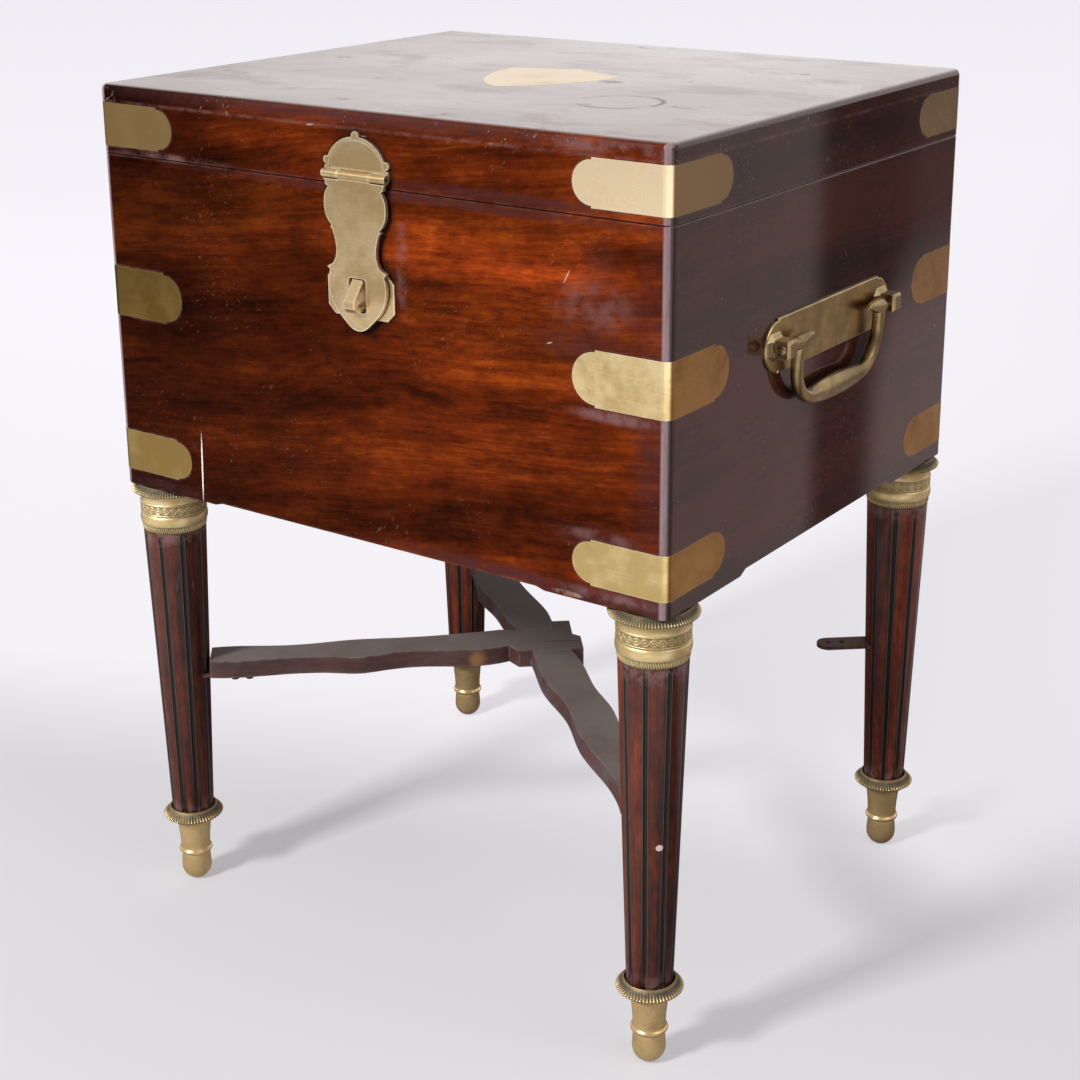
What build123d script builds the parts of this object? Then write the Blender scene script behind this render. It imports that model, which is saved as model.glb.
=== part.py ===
from build123d import *
import os
from math import atan2, cos, hypot, radians, sin

# Brass-bound box on a fluted stand, in millimetres. +Z is up, the front faces -Y, and the
# origin is on the floor under the middle of the whole object.

# ---------------------------------------------------------------- sizes: case and lid
case_w = 480.0  # width, along X
case_d = 410.0  # depth, along Y
stand_h = 339.0  # floor to the underside of the case
body_h = 251.0
lid_h = 49.0
seam = 0.4  # open joint between body and lid
wall = 12.0
lid_top_t = 12.0
corner_r = 6.5  # upright corners
lid_arris = 4.2  # rounding round the top of the lid
seam_arris = 0.6
base_arris = 1.0
relief_from = 92.0  # the lower edge is raised from here on, measured from each corner
relief_run = 8.0
relief_front = 2.3
relief_side = 4.0
block_t = 6.0
block_side = 48.0
floor_t = 8.0

# ---------------------------------------------------------------- sizes: flush brass
strap_reach = 71.0  # from the corner along each face
strap_t = 1.5
strap_proud = 0.15
strap_step = 1.4  # shoulder before the round end
lid_strap_h = 31.0
lid_strap_up = 5.1  # above the lower edge of the lid
mid_strap_h = 37.0
mid_strap_up = 131.5  # above the underside of the case
base_strap_h = 31.0
base_strap_up = 12.5
cartouche_t = 1.2
cartouche_w = 96.0  # along X
cartouche_d = 108.0  # along Y, the point towards the front
cartouche_x = 6.0  # its middle, to the right of the lid's middle
cartouche_y = -9.0  # and in front of it

# ---------------------------------------------------------------- sizes: hasp and staple
hasp_w = 53.6
hasp_t = 2.0
hasp_crown = 22.4  # rise of the plate's round top
hasp_rim = 2.4
hasp_rim_t = 0.6
hasp_barrel_r = 3.0
hasp_pin_r = 1.2
hasp_out = 3.4  # pin axis in front of the case
hasp_up = 6.6  # pin axis above the lower edge of the lid
hasp_knuckle = 26.4  # the flap's own knuckle
flap_t = 2.5
flap_l = 104.0  # pin axis to the tip
slot_w = 15.0
slot_l = 23.0
staple_w = 9.5
staple_h = 21.0
staple_reach = 14.0
staple_bar = 3.0
staple_drop = 79.5  # below the pin axis
staple_root = 9.0
staple_plate_w = 57.0
staple_plate_h = 32.0
staple_plate_t = 1.3
staple_plate_cant = 6.0

# ---------------------------------------------------------------- sizes: carrying handles
plate_l = 180.0
plate_h = 37.5
plate_t = 2.2
plate_step = 1.5
handle_up = 149.75  # middle of the plate above the underside of the case
pivot_out = 10.0
pivot_up = 0.55  # pivot above the middle of the plate
post_w = 12.0
post_h = 12.5
post_reach = 16.0
post_end = 83.5  # outer face of a post from the middle of the handle
post_foot_w = 22.0
post_foot_h = 19.0
post_foot_t = 3.0
bail_pin_r = 3.0
bail_head_r = 3.8
bail_r = 4.4
bail_half = 59.0  # middle of the handle to the top of each arm
bail_drop = 42.5  # pivot to the middle of the grip
bail_in = 2.0  # the grip hangs nearer the case than the pivot by this
grip_half = 34.0
grip_h = 15.5
grip_t = 8.0
grip_lean = 15.0  # degrees, its top towards the case
finial_end = 29.0
finial_r = 5.2

# ---------------------------------------------------------------- sizes: hinges
hinge_inset = 100.0  # end of the case to the middle of a hinge
hinge_w = 60.0
hinge_mid = 30.0
hinge_leaf = 10.0  # depth of a leaf on the edge of the board
leaf_t = 1.8
knuckle_r = 3.5
hinge_out = 4.0  # pin axis behind the back face
hinge_pin_r = 1.5
hinge_screw_r = 1.4
hinge_screw_head = 2.8
hinge_screw_l = 12.0
hinge_screw_gap = 20.0

# ---------------------------------------------------------------- sizes: legs
leg_inset = 24.0
leg_r_low = 15.9
leg_r_top = 23.6
foot_h = 62.0  # top of the lip round the leg
foot_seat = 53.0  # height of the leg's lower end, sunk in the foot
socket_r = 17.2
pad_r = 5.5  # flat under the ball
ball_r = 11.7
ball_up = 9.5
ball_neck = 10.9
bead_r = 13.1
bead_up = 25.4
bead_t = 3.4
cup_r = 11.6
saucer_r = 23.4
saucer_low = 54.8  # underside of the saucer's edge
saucer_lip = 0.9
socket_wall = 1.5
spigot_r = 8.0
spigot_l = 17.0
collar_h = 36.8
collar_bore = 21.8
collar_r = 25.3
ring_h = 4.6  # toothed ring, lowest part of the collar
band_h = 9.4
frieze_h = 8.4
fillet_h = 3.6
cove_h = 5.4
flange_r = 29.7
peg_r = 9.0
peg_l = 11.0
flutes = 9
flute_r = 1.65
flute_out = 0.3  # middle of the flute outside the surface
flute_gap = 2.6  # plain wood left under the collar
flute_turn = {"front_left": 17.0, "front_right": 19.5, "back_left": 20.0, "back_right": 23.5}

# ---------------------------------------------------------------- sizes: stretcher
arm_low = 179.0
arm_t = 14.0
lap_t = 7.0
tab_in = 12.0
tab_out = 60.0
tab_w = 18.0
tab_t = 3.0
tab_holes = (40.0, 51.0)
tab_shift = {"front_left": -4.0}  # this tab and its screws sit off the middle of the arm
screw_shift = 6.0
tab_screw_r = 2.2
tab_head_r = 3.4
tab_head_t = 2.6
tab_screw_l = 11.0

# ---------------------------------------------------------------- sizes: inside
lining_t = 2.0
partition_t = 6.0
partition_h = 140.0
partition_front = 152.0  # depth of the front cells
front_cells = 4
back_cells = 2
mirror_w = 330.0
mirror_d = 270.0
mirror_rail = 24.0
mirror_t = 9.0
mirror_lip = 6.0
glass_t = 3.0

# ---------------------------------------------------------------- clearances
run_gap = 0.05  # radial, pin in its bore
side_gap = 0.2  # between knuckles
swing_gap = 0.35  # round a knuckle that turns
fit_gap = 0.05  # radial, wood in brass

# ---------------------------------------------------------------- levels and planes
body_top = stand_h + body_h
lid_low = body_top + seam
lid_top = lid_low + lid_h
floor_low = stand_h + block_t
floor_top = floor_low + floor_t
lining_top = floor_top + lining_t
inner_w = case_w - 2 * wall
inner_d = case_d - 2 * wall
front_reach = max(staple_reach, flange_r - leg_inset)
back_reach = max(hinge_out + knuckle_r, flange_r - leg_inset)
case_y = (front_reach - back_reach) / 2
front_y = case_y - case_d / 2
back_y = case_y + case_d / 2
collar_low = stand_h - collar_h
plan = Plane((0, case_y, 0))
front_face = Plane(origin=(0, front_y, 0), x_dir=(1, 0, 0), z_dir=(0, -1, 0))
mid_front = Plane(origin=(0, case_y, 0), x_dir=(1, 0, 0), z_dir=(0, -1, 0))
mid_side = Plane(origin=(0, case_y, 0), x_dir=(0, 1, 0), z_dir=(1, 0, 0))
side_face = Plane(origin=(case_w / 2, case_y, 0), x_dir=(0, 1, 0), z_dir=(1, 0, 0))
hasp_z = lid_low + hasp_up
pivot_z = stand_h + handle_up + pivot_up
hinge_z = body_top + seam / 2
hinge_x = case_w / 2 - hinge_inset
corners = {
    "front_left": (-1, -1),
    "front_right": (1, -1),
    "back_left": (-1, 1),
    "back_right": (1, 1),
}

os.makedirs("parts", exist_ok=True)


def save(maker, name):
    """Label a finished sub-part and write its file."""
    maker.part.label = name
    export_step(maker.part, f"parts/{name}.step")


# ---------------------------------------------------------------- flush corner straps
def make_straps(low, height):
    """Four brass straps round the corners, with a shoulder and a round end on each arm."""
    end_r = height / 2 - strap_step
    shoulder = strap_reach - end_r
    middle = low + height / 2
    with BuildPart() as straps:
        with BuildSketch(plan.offset(low)):
            RectangleRounded(
                case_w + 2 * strap_proud, case_d + 2 * strap_proud, corner_r + strap_proud
            )
            RectangleRounded(
                case_w - 2 * strap_t, case_d - 2 * strap_t, corner_r - strap_t,
                mode=Mode.SUBTRACT,
            )
        extrude(amount=height)
        for view, half in ((mid_front, case_w / 2), (mid_side, case_d / 2)):
            with BuildSketch(view):
                for side in (-1, 1):
                    with Locations((side * half, middle)):
                        Rectangle(2 * shoulder, height)
                    with Locations((side * (half - shoulder), middle)):
                        Circle(end_r)
            extrude(amount=case_w, both=True, mode=Mode.INTERSECT)
    return straps


lid_straps = make_straps(lid_low + lid_strap_up, lid_strap_h)
middle_straps = make_straps(stand_h + mid_strap_up, mid_strap_h)
base_straps = make_straps(stand_h + base_strap_up, base_strap_h)
save(lid_straps, "lid_straps")
save(middle_straps, "middle_straps")
save(base_straps, "base_straps")

# ---------------------------------------------------------------- staple and its plate
staple_z = hasp_z - staple_drop
side_view = Plane(origin=(0, front_y, staple_z), x_dir=(0, 1, 0), z_dir=(1, 0, 0))
with BuildPart() as staple:
    front, half, inner = -staple_reach, staple_h / 2, staple_h / 2 - staple_bar
    with BuildSketch(side_view):
        with BuildLine():
            Polyline(
                (staple_root, half), (0.28 * front, half), (front, -0.24 * half),
                (front, -0.7 * half), (0.8 * front, -half), (staple_root, -half), close=True,
            )
        make_face()
        with BuildLine():
            Polyline(
                (staple_root, inner), (0.18 * front, inner),
                (front + staple_bar, -0.34 * half), (front + staple_bar, -0.6 * half),
                (front + 1.3 * staple_bar, -inner), (staple_root, -inner), close=True,
            )
        make_face(mode=Mode.SUBTRACT)
    extrude(amount=staple_w / 2, both=True)
    outer = staple.faces().sort_by(Axis.X)
    chamfer(outer[0].edges() + outer[-1].edges(), 0.5)
save(staple, "staple")

with BuildPart() as staple_plate:
    with BuildSketch(front_face):
        with Locations((0, staple_z)):
            plate_edge = Rectangle(staple_plate_w, staple_plate_h)
        chamfer(plate_edge.vertices(), staple_plate_cant)
    extrude(amount=staple_plate_t)
    chamfer(staple_plate.faces().sort_by(Axis.Y)[0].edges(), 0.4)
    add(staple.part, mode=Mode.SUBTRACT)
save(staple_plate, "staple_plate")

# ---------------------------------------------------------------- hinges at the back
hinge_axis = Axis((0, back_y + hinge_out, hinge_z), (1, 0, 0))


def barrel(x_from, x_to, radius, y, z, mode=Mode.ADD):
    """A cylinder along X in the part being made."""
    with BuildSketch(Plane(origin=(x_from, y, z), x_dir=(0, 1, 0), z_dir=(1, 0, 0))) as disc:
        Circle(radius)
    extrude(disc.sketch, amount=x_to - x_from, mode=mode)


def hinge_screw_places(side):
    """Where one leaf's screws go, in the plan of the case."""
    for n in (-1, 0, 1):
        yield side * hinge_x + n * hinge_screw_gap, case_d / 2 - hinge_leaf / 2


def make_hinge_screws(edge_z, way):
    """Countersunk screws through both leaves on one edge; way is -1 down or 1 up."""
    with BuildPart() as screws:
        for side in (-1, 1):
            for x, y in hinge_screw_places(side):
                view = Plane(origin=(x, case_y + y, edge_z), x_dir=(1, 0, 0), z_dir=(0, -1, 0))
                with BuildSketch(view):
                    with BuildLine():
                        Polyline(
                            (0, 0),
                            (hinge_screw_head, 0),
                            (hinge_screw_r, way * leaf_t),
                            (hinge_screw_r, way * hinge_screw_l),
                            (0, way * hinge_screw_l),
                            close=True,
                        )
                    make_face()
                revolve(axis=Axis((x, case_y + y, 0), (0, 0, 1)))
    return screws


hinge_case_screws = make_hinge_screws(body_top, -1)
hinge_lid_screws = make_hinge_screws(lid_low, 1)


def make_leaf(side, low, screws, outer):
    """One hinge leaf. The case's leaf has the two outer knuckles, the lid's the middle one."""
    x = side * hinge_x
    y, z = back_y + hinge_out, hinge_z
    ends = [(-hinge_w / 2, -hinge_mid / 2), (hinge_mid / 2, hinge_w / 2)]
    middle = [(-hinge_mid / 2 + side_gap, hinge_mid / 2 - side_gap)]
    own, other = (ends, middle) if outer else (middle, ends)
    with BuildPart() as leaf:
        with BuildSketch(Plane.XY.offset(low)):
            with Locations((x, back_y - hinge_leaf / 2 + hinge_out / 2)):
                Rectangle(hinge_w, hinge_leaf + hinge_out)
        extrude(amount=leaf_t)
        for start, stop in other:
            barrel(x + start - side_gap, x + stop + side_gap, knuckle_r + swing_gap, y, z, Mode.SUBTRACT)
        for start, stop in own:
            barrel(x + start, x + stop, knuckle_r, y, z)
        bore = hinge_pin_r if outer else hinge_pin_r + run_gap
        barrel(x - hinge_w, x + hinge_w, bore, y, z, Mode.SUBTRACT)
        add(screws.part, mode=Mode.SUBTRACT)
    return leaf


case_leaves = {}
lid_leaves = {}
for name, side in (("left", -1), ("right", 1)):
    case_leaves[name] = make_leaf(side, body_top - leaf_t, hinge_case_screws, True)
    lid_leaves[name] = make_leaf(side, lid_low, hinge_lid_screws, False)
    save(case_leaves[name], f"hinge_case_leaf_{name}")
    save(lid_leaves[name], f"hinge_lid_leaf_{name}")
save(hinge_case_screws, "hinge_case_screws")
save(hinge_lid_screws, "hinge_lid_screws")

with BuildPart() as hinge_pins:
    for side in (-1, 1):
        middle = side * hinge_x
        barrel(
            middle - hinge_w / 2, middle + hinge_w / 2, hinge_pin_r, back_y + hinge_out, hinge_z
        )
save(hinge_pins, "hinge_pins")


# ---------------------------------------------------------------- case boards, mitred
def make_shell(low, height, top_round, low_round):
    """A rounded box without top or floor, before it is divided into boards."""
    with BuildPart() as shell:
        with BuildSketch(plan.offset(low)):
            RectangleRounded(case_w, case_d, corner_r)
        extrude(amount=height)
        fillet(shell.faces().sort_by(Axis.Z)[-1].edges(), top_round)
        fillet(shell.faces().sort_by(Axis.Z)[0].edges(), low_round)
    return shell


def mitre(face, low, high, hollow_d=inner_d):
    """The mitred stretch of plan that one board keeps, as a solid between two heights."""
    reach_x, reach_y = case_w / 2, case_d / 2
    in_x, in_y = reach_x - wall, hollow_d / 2
    over = wall
    if face in ("left", "right"):
        side = -1 if face == "left" else 1
        outline = [
            (side * in_x, -in_y), (side * (reach_x + over), -reach_y - over),
            (side * (reach_x + over), reach_y + over), (side * in_x, in_y),
        ]
    else:
        side = -1 if face == "front" else 1
        outline = [
            (-in_x, side * in_y), (-reach_x - over, side * (reach_y + over)),
            (reach_x + over, side * (reach_y + over)), (in_x, side * in_y),
        ]
    with BuildPart() as keep:
        with BuildSketch(plan.offset(low)):
            Polygon(*outline, align=None)
        extrude(amount=high - low)
    return keep


case_shell = make_shell(stand_h, body_h, seam_arris, base_arris)


def lower_relief(view, half, rise):
    """Cut that raises the lower edge between the corners, with sloping ends."""
    inner = half - relief_from - relief_run
    outer = half - relief_from
    with BuildSketch(view) as gap:
        with BuildLine():
            Polyline(
                (-outer, stand_h), (outer, stand_h), (inner, stand_h + rise),
                (-inner, stand_h + rise), close=True,
            )
        make_face()
    extrude(gap.sketch, amount=case_w, both=True, mode=Mode.SUBTRACT)


def make_board(face):
    """One wall of the case, with pockets for its straps and ironmongery."""
    with BuildPart() as board:
        add(case_shell.part)
        add(mitre(face, stand_h, body_top).part, mode=Mode.INTERSECT)
        if face in ("front", "back"):
            lower_relief(mid_front, case_w / 2, relief_front)
        else:
            lower_relief(mid_side, case_d / 2, relief_side)
        add(middle_straps.part, mode=Mode.SUBTRACT)
        add(base_straps.part, mode=Mode.SUBTRACT)
        if face == "front":
            add(staple.part, mode=Mode.SUBTRACT)
        if face == "back":
            for leaf in case_leaves.values():
                add(leaf.part, mode=Mode.SUBTRACT)
            add(hinge_case_screws.part, mode=Mode.SUBTRACT)
    return board


for face in ("front", "back", "left", "right"):
    board = make_board(face)
    save(board, f"{face}_board")


def leg_axis(corner):
    """Where a leg stands, in X and Y."""
    side, depth = corners[corner]
    return side * (case_w / 2 - leg_inset), case_y + depth * (case_d / 2 - leg_inset)


with BuildPart() as corner_blocks:
    for side, depth in corners.values():
        with BuildSketch(plan.offset(stand_h)):
            with Locations(
                (side * (inner_w - block_side) / 2, depth * (inner_d - block_side) / 2)
            ):
                Rectangle(block_side, block_side)
        extrude(amount=block_t)
    with BuildSketch(Plane.XY.offset(stand_h)):
        with Locations(*[leg_axis(corner) for corner in corners]):
            Circle(peg_r)
    extrude(amount=block_t, mode=Mode.SUBTRACT)
save(corner_blocks, "corner_blocks")

with BuildPart() as bottom_board:
    with BuildSketch(plan.offset(floor_low)):
        Rectangle(inner_w, inner_d)
    extrude(amount=floor_t)
    with BuildSketch(Plane.XY.offset(floor_low)):
        with Locations(*[leg_axis(corner) for corner in corners]):
            Circle(peg_r)
    extrude(amount=peg_l - block_t, mode=Mode.SUBTRACT)
save(bottom_board, "bottom_board")

# ---------------------------------------------------------------- lid
shield_plan = Plane((cartouche_x, case_y + cartouche_y, lid_top - cartouche_t))
with BuildPart() as cartouche:
    half_w, half_d = cartouche_w / 2, cartouche_d / 2
    with BuildSketch(shield_plan):
        with BuildLine():
            for side in (-1, 1):
                ear = (side * half_w, half_d * 0.68)
                Spline(
                    (0, -half_d),
                    (side * half_w * 0.42, -half_d * 0.72),
                    (side * half_w * 0.72, -half_d * 0.32),
                    (side * half_w * 0.93, half_d * 0.12),
                    ear,
                )
                ThreePointArc(ear, (side * half_w * 0.48, half_d * 0.82), (0, half_d))
        make_face()
    extrude(amount=cartouche_t + 0.05)
save(cartouche, "cartouche")

lid_shell = make_shell(lid_low, lid_h, lid_arris, seam_arris)
rim_top = lid_top - lid_top_t
with BuildPart() as lid_panel:
    add(lid_shell.part)
    with BuildSketch(plan.offset(lid_low - 1)):
        Rectangle(2 * case_w, 2 * case_d)
    extrude(amount=rim_top - lid_low + 1, mode=Mode.SUBTRACT)
    add(cartouche.part, mode=Mode.SUBTRACT)
save(lid_panel, "lid_panel")

for face in ("front", "back", "left", "right"):
    with BuildPart() as rim:
        add(lid_shell.part)
        add(mitre(face, lid_low, rim_top).part, mode=Mode.INTERSECT)
        add(lid_straps.part, mode=Mode.SUBTRACT)
        if face == "back":
            for leaf in lid_leaves.values():
                add(leaf.part, mode=Mode.SUBTRACT)
            add(hinge_lid_screws.part, mode=Mode.SUBTRACT)
    save(rim, f"lid_{face}_rim")

# ---------------------------------------------------------------- hasp
hasp_y = front_y - hasp_out
with BuildPart() as hasp_plate:
    with BuildSketch(front_face):
        with Locations((0, hasp_z + 2.5)):
            Rectangle(hasp_w, 5)
        with Locations((0, hasp_z + 3)):
            Ellipse(hasp_w / 2 - 1.3, hasp_crown)
        with Locations((0, hasp_z + hasp_crown + 3.6)):
            Circle(3.1)
        with Locations((0, hasp_z + hasp_crown + 0.6)):
            Trapezoid(13, 4.4, 55)
        with Locations((1.6 - hasp_w / 2, hasp_z + 8.6), (hasp_w / 2 - 1.6, hasp_z + 8.6)):
            Circle(2.6)
        with Locations((0, hasp_z - hasp_w)):
            Rectangle(2 * hasp_w, 2 * hasp_w, mode=Mode.SUBTRACT)
    extrude(amount=hasp_t)
    with BuildSketch(front_face.offset(hasp_t - hasp_rim_t)):
        with Locations((0, hasp_z + 3)):
            Ellipse(hasp_w / 2 - 1.3 - hasp_rim, hasp_crown - hasp_rim)
        with Locations((0, hasp_z + 3.6 - hasp_w)):
            Rectangle(2 * hasp_w, 2 * hasp_w, mode=Mode.SUBTRACT)
    extrude(amount=hasp_t, mode=Mode.SUBTRACT)
    barrel(-hasp_w / 2, hasp_w / 2, hasp_barrel_r, hasp_y, hasp_z)
    barrel(
        -hasp_knuckle / 2 - side_gap, hasp_knuckle / 2 + side_gap,
        hasp_barrel_r + swing_gap, hasp_y, hasp_z, Mode.SUBTRACT,
    )
    barrel(-hasp_w, hasp_w, hasp_pin_r, hasp_y, hasp_z, Mode.SUBTRACT)
save(hasp_plate, "hasp_plate")

with BuildPart() as hasp_pin:
    barrel(-hasp_w / 2, hasp_w / 2, hasp_pin_r, hasp_y, hasp_z)
save(hasp_pin, "hasp_pin")

# right-hand edge of the flap: shares of its half width, and of its length down from the pin
flap_shoulder = [(0.93, 0.04), (0.92, 0.068)]
flap_lobe = [(0.83, 0.083), (0.94, 0.125), (0.98, 0.197), (0.92, 0.275), (0.76, 0.325)]
flap_cusp = [(0.802, 0.34), (0.728, 0.36)]
flap_waist = [(0.728, 0.36), (0.657, 0.423), (0.631, 0.486), (0.679, 0.541), (0.78, 0.579)]
flap_nib = [(0.94, 0.6), (0.858, 0.623)]
flap_disc = [
    (0.858, 0.623), (0.929, 0.712), (0.869, 0.793), (0.698, 0.873), (0.448, 0.938),
    (0.22, 0.986), (0, 1.0),
]


def flap_places(shares, side):
    """Points of the flap's edge in millimetres."""
    return [(side * wide * hasp_w / 2, -down * flap_l) for wide, down in shares]


flap_top = hasp_barrel_r + swing_gap
with BuildPart() as hasp_flap:
    flap_plane = Plane(
        origin=(0, hasp_y + flap_t / 2, hasp_z), x_dir=(1, 0, 0), z_dir=(0, -1, 0)
    )
    with BuildSketch(flap_plane):
        with BuildLine():
            for side in (-1, 1):
                Polyline(
                    (0, -flap_top), (side * hasp_w / 2, -flap_top),
                    *flap_places(flap_shoulder + flap_lobe[:1], side),
                )
                Spline(*flap_places(flap_lobe, side))
                Polyline(*flap_places(flap_lobe[-1:] + flap_cusp, side))
                Spline(*flap_places(flap_waist, side))
                Polyline(*flap_places(flap_waist[-1:] + flap_nib, side))
                Spline(*flap_places(flap_disc, side))
        make_face()
        with Locations((0, -flap_top / 2)):
            Rectangle(hasp_knuckle, flap_top)
        with Locations((0, -staple_drop)):
            RectangleRounded(slot_w, slot_l, 2.5, mode=Mode.SUBTRACT)
    extrude(amount=flap_t)
    barrel(-hasp_knuckle / 2, hasp_knuckle / 2, hasp_barrel_r, hasp_y, hasp_z)
    barrel(-hasp_w, hasp_w, hasp_pin_r + run_gap, hasp_y, hasp_z, Mode.SUBTRACT)
save(hasp_flap, "hasp_flap")


# ---------------------------------------------------------------- carrying handles
handle_z = stand_h + handle_up
pivot_x = case_w / 2 + pivot_out


def cross(y):
    """A plane square to the pivot at y from the middle of the case, seen along +Y."""
    return Plane(origin=(pivot_x, case_y + y, pivot_z), x_dir=(1, 0, 0), z_dir=(0, 1, 0))


with BuildPart() as plate_right:
    end_r = plate_h / 2 - plate_step
    with BuildSketch(side_face):
        with Locations((0, handle_z)):
            Rectangle(plate_l - 2 * end_r, plate_h)
        with Locations((plate_l / 2 - end_r, handle_z), (end_r - plate_l / 2, handle_z)):
            Circle(end_r)
    extrude(amount=plate_t)
    chamfer(plate_right.faces().sort_by(Axis.X)[-1].edges(), 0.7)

with BuildPart() as posts_right:
    for side in (-1, 1):
        middle = side * (post_end - post_w / 2)
        with BuildSketch(side_face.offset(plate_t)):
            with Locations((middle, pivot_z)):
                foot_edge = Rectangle(post_foot_w, post_foot_h)
            chamfer(foot_edge.vertices(), 5)
        with BuildSketch(side_face.offset(plate_t + post_foot_t)):
            with Locations((middle, pivot_z)):
                neck_edge = Rectangle(post_w, post_h)
            chamfer(neck_edge.vertices(), 1.2)
        loft()
        with BuildSketch(side_face.offset(plate_t + post_foot_t)):
            with Locations((middle, pivot_z)):
                Rectangle(post_w, post_h)
        extrude(amount=post_reach - plate_t - post_foot_t)
    chamfer(posts_right.faces().filter_by(Axis.X).group_by(Axis.X)[-1].edges(), 1.6)
    with BuildSketch(cross(-plate_l)):
        Circle(bail_pin_r + run_gap)
    extrude(amount=2 * plate_l, mode=Mode.SUBTRACT)

# length along the pivot from the middle of the handle, and radius
pin_in = post_end - post_w - side_gap
bail_turning = [
    (post_end + side_gap + 1.2, bail_head_r - 1.2), (post_end + side_gap + 1.0, bail_head_r),
    (post_end + side_gap, bail_head_r), (post_end + side_gap, bail_pin_r),
    (pin_in, bail_pin_r), (pin_in, 4.4), (pin_in - 3, 4.4), (pin_in - 4.5, 3.9),
]
finial_turning = [
    (bail_half - 4, finial_r), (bail_half - 14, finial_r - 0.3), (finial_end + 1, 1.6),
    (finial_end, 0.9),
]
bail_points = [
    (0, -bail_half, 0), (-0.6, -bail_half - 0.7, -10), (-1.4, -bail_half + 0.3, -20),
    (-bail_in, -bail_half + 5.2, -31), (-bail_in, -bail_half + 13.5, -39),
    (-bail_in, -grip_half, -bail_drop),
]
with BuildPart() as bail_right:
    for side in (-1, 1):
        turning = Plane(
            origin=(pivot_x, case_y, pivot_z), x_dir=(0, side, 0), z_dir=(0, 0, 1)
        )
        with BuildSketch(turning):
            with BuildLine():
                Polyline(
                    (finial_end, 0), (post_end + side_gap + 1.2, 0), *bail_turning,
                    (bail_half, finial_r), *finial_turning, close=True,
                )
            make_face()
        revolve(axis=Axis((pivot_x, case_y, pivot_z), (0, 1, 0)))
        with BuildLine() as arm:
            Spline(
                *[
                    (pivot_x + x, case_y - side * y, pivot_z + z)
                    for x, y, z in bail_points
                ],
                tangents=((0, 0, -1), (0, -side, 0)),
            )
        with BuildSketch(Plane(origin=arm.line @ 0, z_dir=arm.line % 0)):
            Circle(bail_r)
        sweep(path=arm.line)
    for y, thick, tall in (
        (-grip_half, bail_r, bail_r), (-grip_half / 2, grip_t / 2, grip_h * 0.43),
        (0, grip_t / 2, grip_h / 2), (grip_half / 2, grip_t / 2, grip_h * 0.43),
        (grip_half, bail_r, bail_r),
    ):
        with BuildSketch(cross(y)):
            with Locations((-bail_in, bail_drop)):
                Ellipse(thick, tall, rotation=-grip_lean if thick < tall else 0)
    loft()

for name, maker in (("plate", plate_right), ("posts", posts_right), ("bail", bail_right)):
    save(maker, f"handle_{name}_right")
    with BuildPart() as other_side:
        mirror(maker.part, about=Plane.YZ)
    save(other_side, f"handle_{name}_left")


# ---------------------------------------------------------------- iron tabs and screws
def arm_plane(corner, z):
    """A level plane at a leg, with local X along the arm towards the middle."""
    x, y = leg_axis(corner)
    return Plane(origin=(x, y, z), x_dir=(-x, case_y - y, 0), z_dir=(0, 0, 1))


def hole_places(corner):
    """Where the two screws of one tab go."""
    shift = tab_shift.get(corner, 0)
    across = shift - screw_shift if shift else 0
    return [(along, across) for along in tab_holes]


with BuildPart() as iron_tabs:
    for corner in corners:
        shift = tab_shift.get(corner, 0)
        straight = tab_out - tab_w / 2
        with BuildSketch(arm_plane(corner, arm_low)):
            with Locations(((tab_in + straight) / 2, shift)):
                Rectangle(straight - tab_in, tab_w)
            with Locations((straight, shift)):
                Circle(tab_w / 2)
            with Locations(*hole_places(corner)):
                Circle(tab_screw_r, mode=Mode.SUBTRACT)
        extrude(amount=tab_t)
save(iron_tabs, "iron_tabs")

with BuildPart() as stretcher_screws:
    for corner in corners:
        if corner == "back_right":
            continue
        with BuildSketch(arm_plane(corner, arm_low)):
            with Locations(*hole_places(corner)):
                Circle(tab_head_r)
        extrude(amount=-tab_head_t, taper=12)
        with BuildSketch(arm_plane(corner, arm_low)):
            with Locations(*hole_places(corner)):
                Circle(tab_screw_r)
        extrude(amount=tab_screw_l)
save(stretcher_screws, "stretcher_screws")

# ---------------------------------------------------------------- stretcher
leg_x, leg_y = leg_axis("back_right")
crossing = hypot(leg_x, leg_y - case_y)  # leg axis to the middle
arm_end = leg_r_top - 2.6  # the arms stop at the leg

# (along from the leg axis, across to the left) down each wavy edge
broken_near = [
    (arm_end, -14), (45, -15.5), (75, -13), (116, -14), (138, -17), (153, -13.7),
    (185, -9), (224, -12), (crossing - 27, -5),
]
broken_far = [
    (crossing - 32, 26), (205, 20), (169, 18), (130, 17.5), (98, 13), (74, 12), (43, 14),
    (arm_end, 13),
]
broken_head = [
    (crossing - 27, -5), (crossing - 20, -17), (crossing + 31, -17), (crossing + 31, 7),
    (crossing + 25, 12), (crossing + 25, 39), (crossing + 9, 39), (crossing + 9, 22),
    (crossing - 20, 23), (crossing - 32, 26),
]
long_end = 2 * crossing - arm_end
long_left = [
    (arm_end, 14), (100, 15), (161, 13.4), (199, 17), (226, 19), (262, 16), (333, 18.7),
    (378, 16), (412, 18), (460, 14), (500, 17), (long_end, 14),
]
long_right = [
    (long_end, -15), (500, -13), (450, -17), (400, -13), (350, -17), (300, -13),
    (218, -17), (190, -18), (160, -22), (125, -18), (70, -14), (arm_end, -15),
]


def broken_outline(low, height, mode=Mode.ADD):
    """The member from the front left leg, which ends just past the crossing."""
    with BuildSketch(arm_plane("front_left", low)) as outline:
        with BuildLine():
            Spline(*broken_near)
            Polyline(*broken_head)
            Spline(*broken_far)
            Line(broken_far[-1], broken_near[0])
        make_face()
    extrude(outline.sketch, amount=height, mode=mode)


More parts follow.
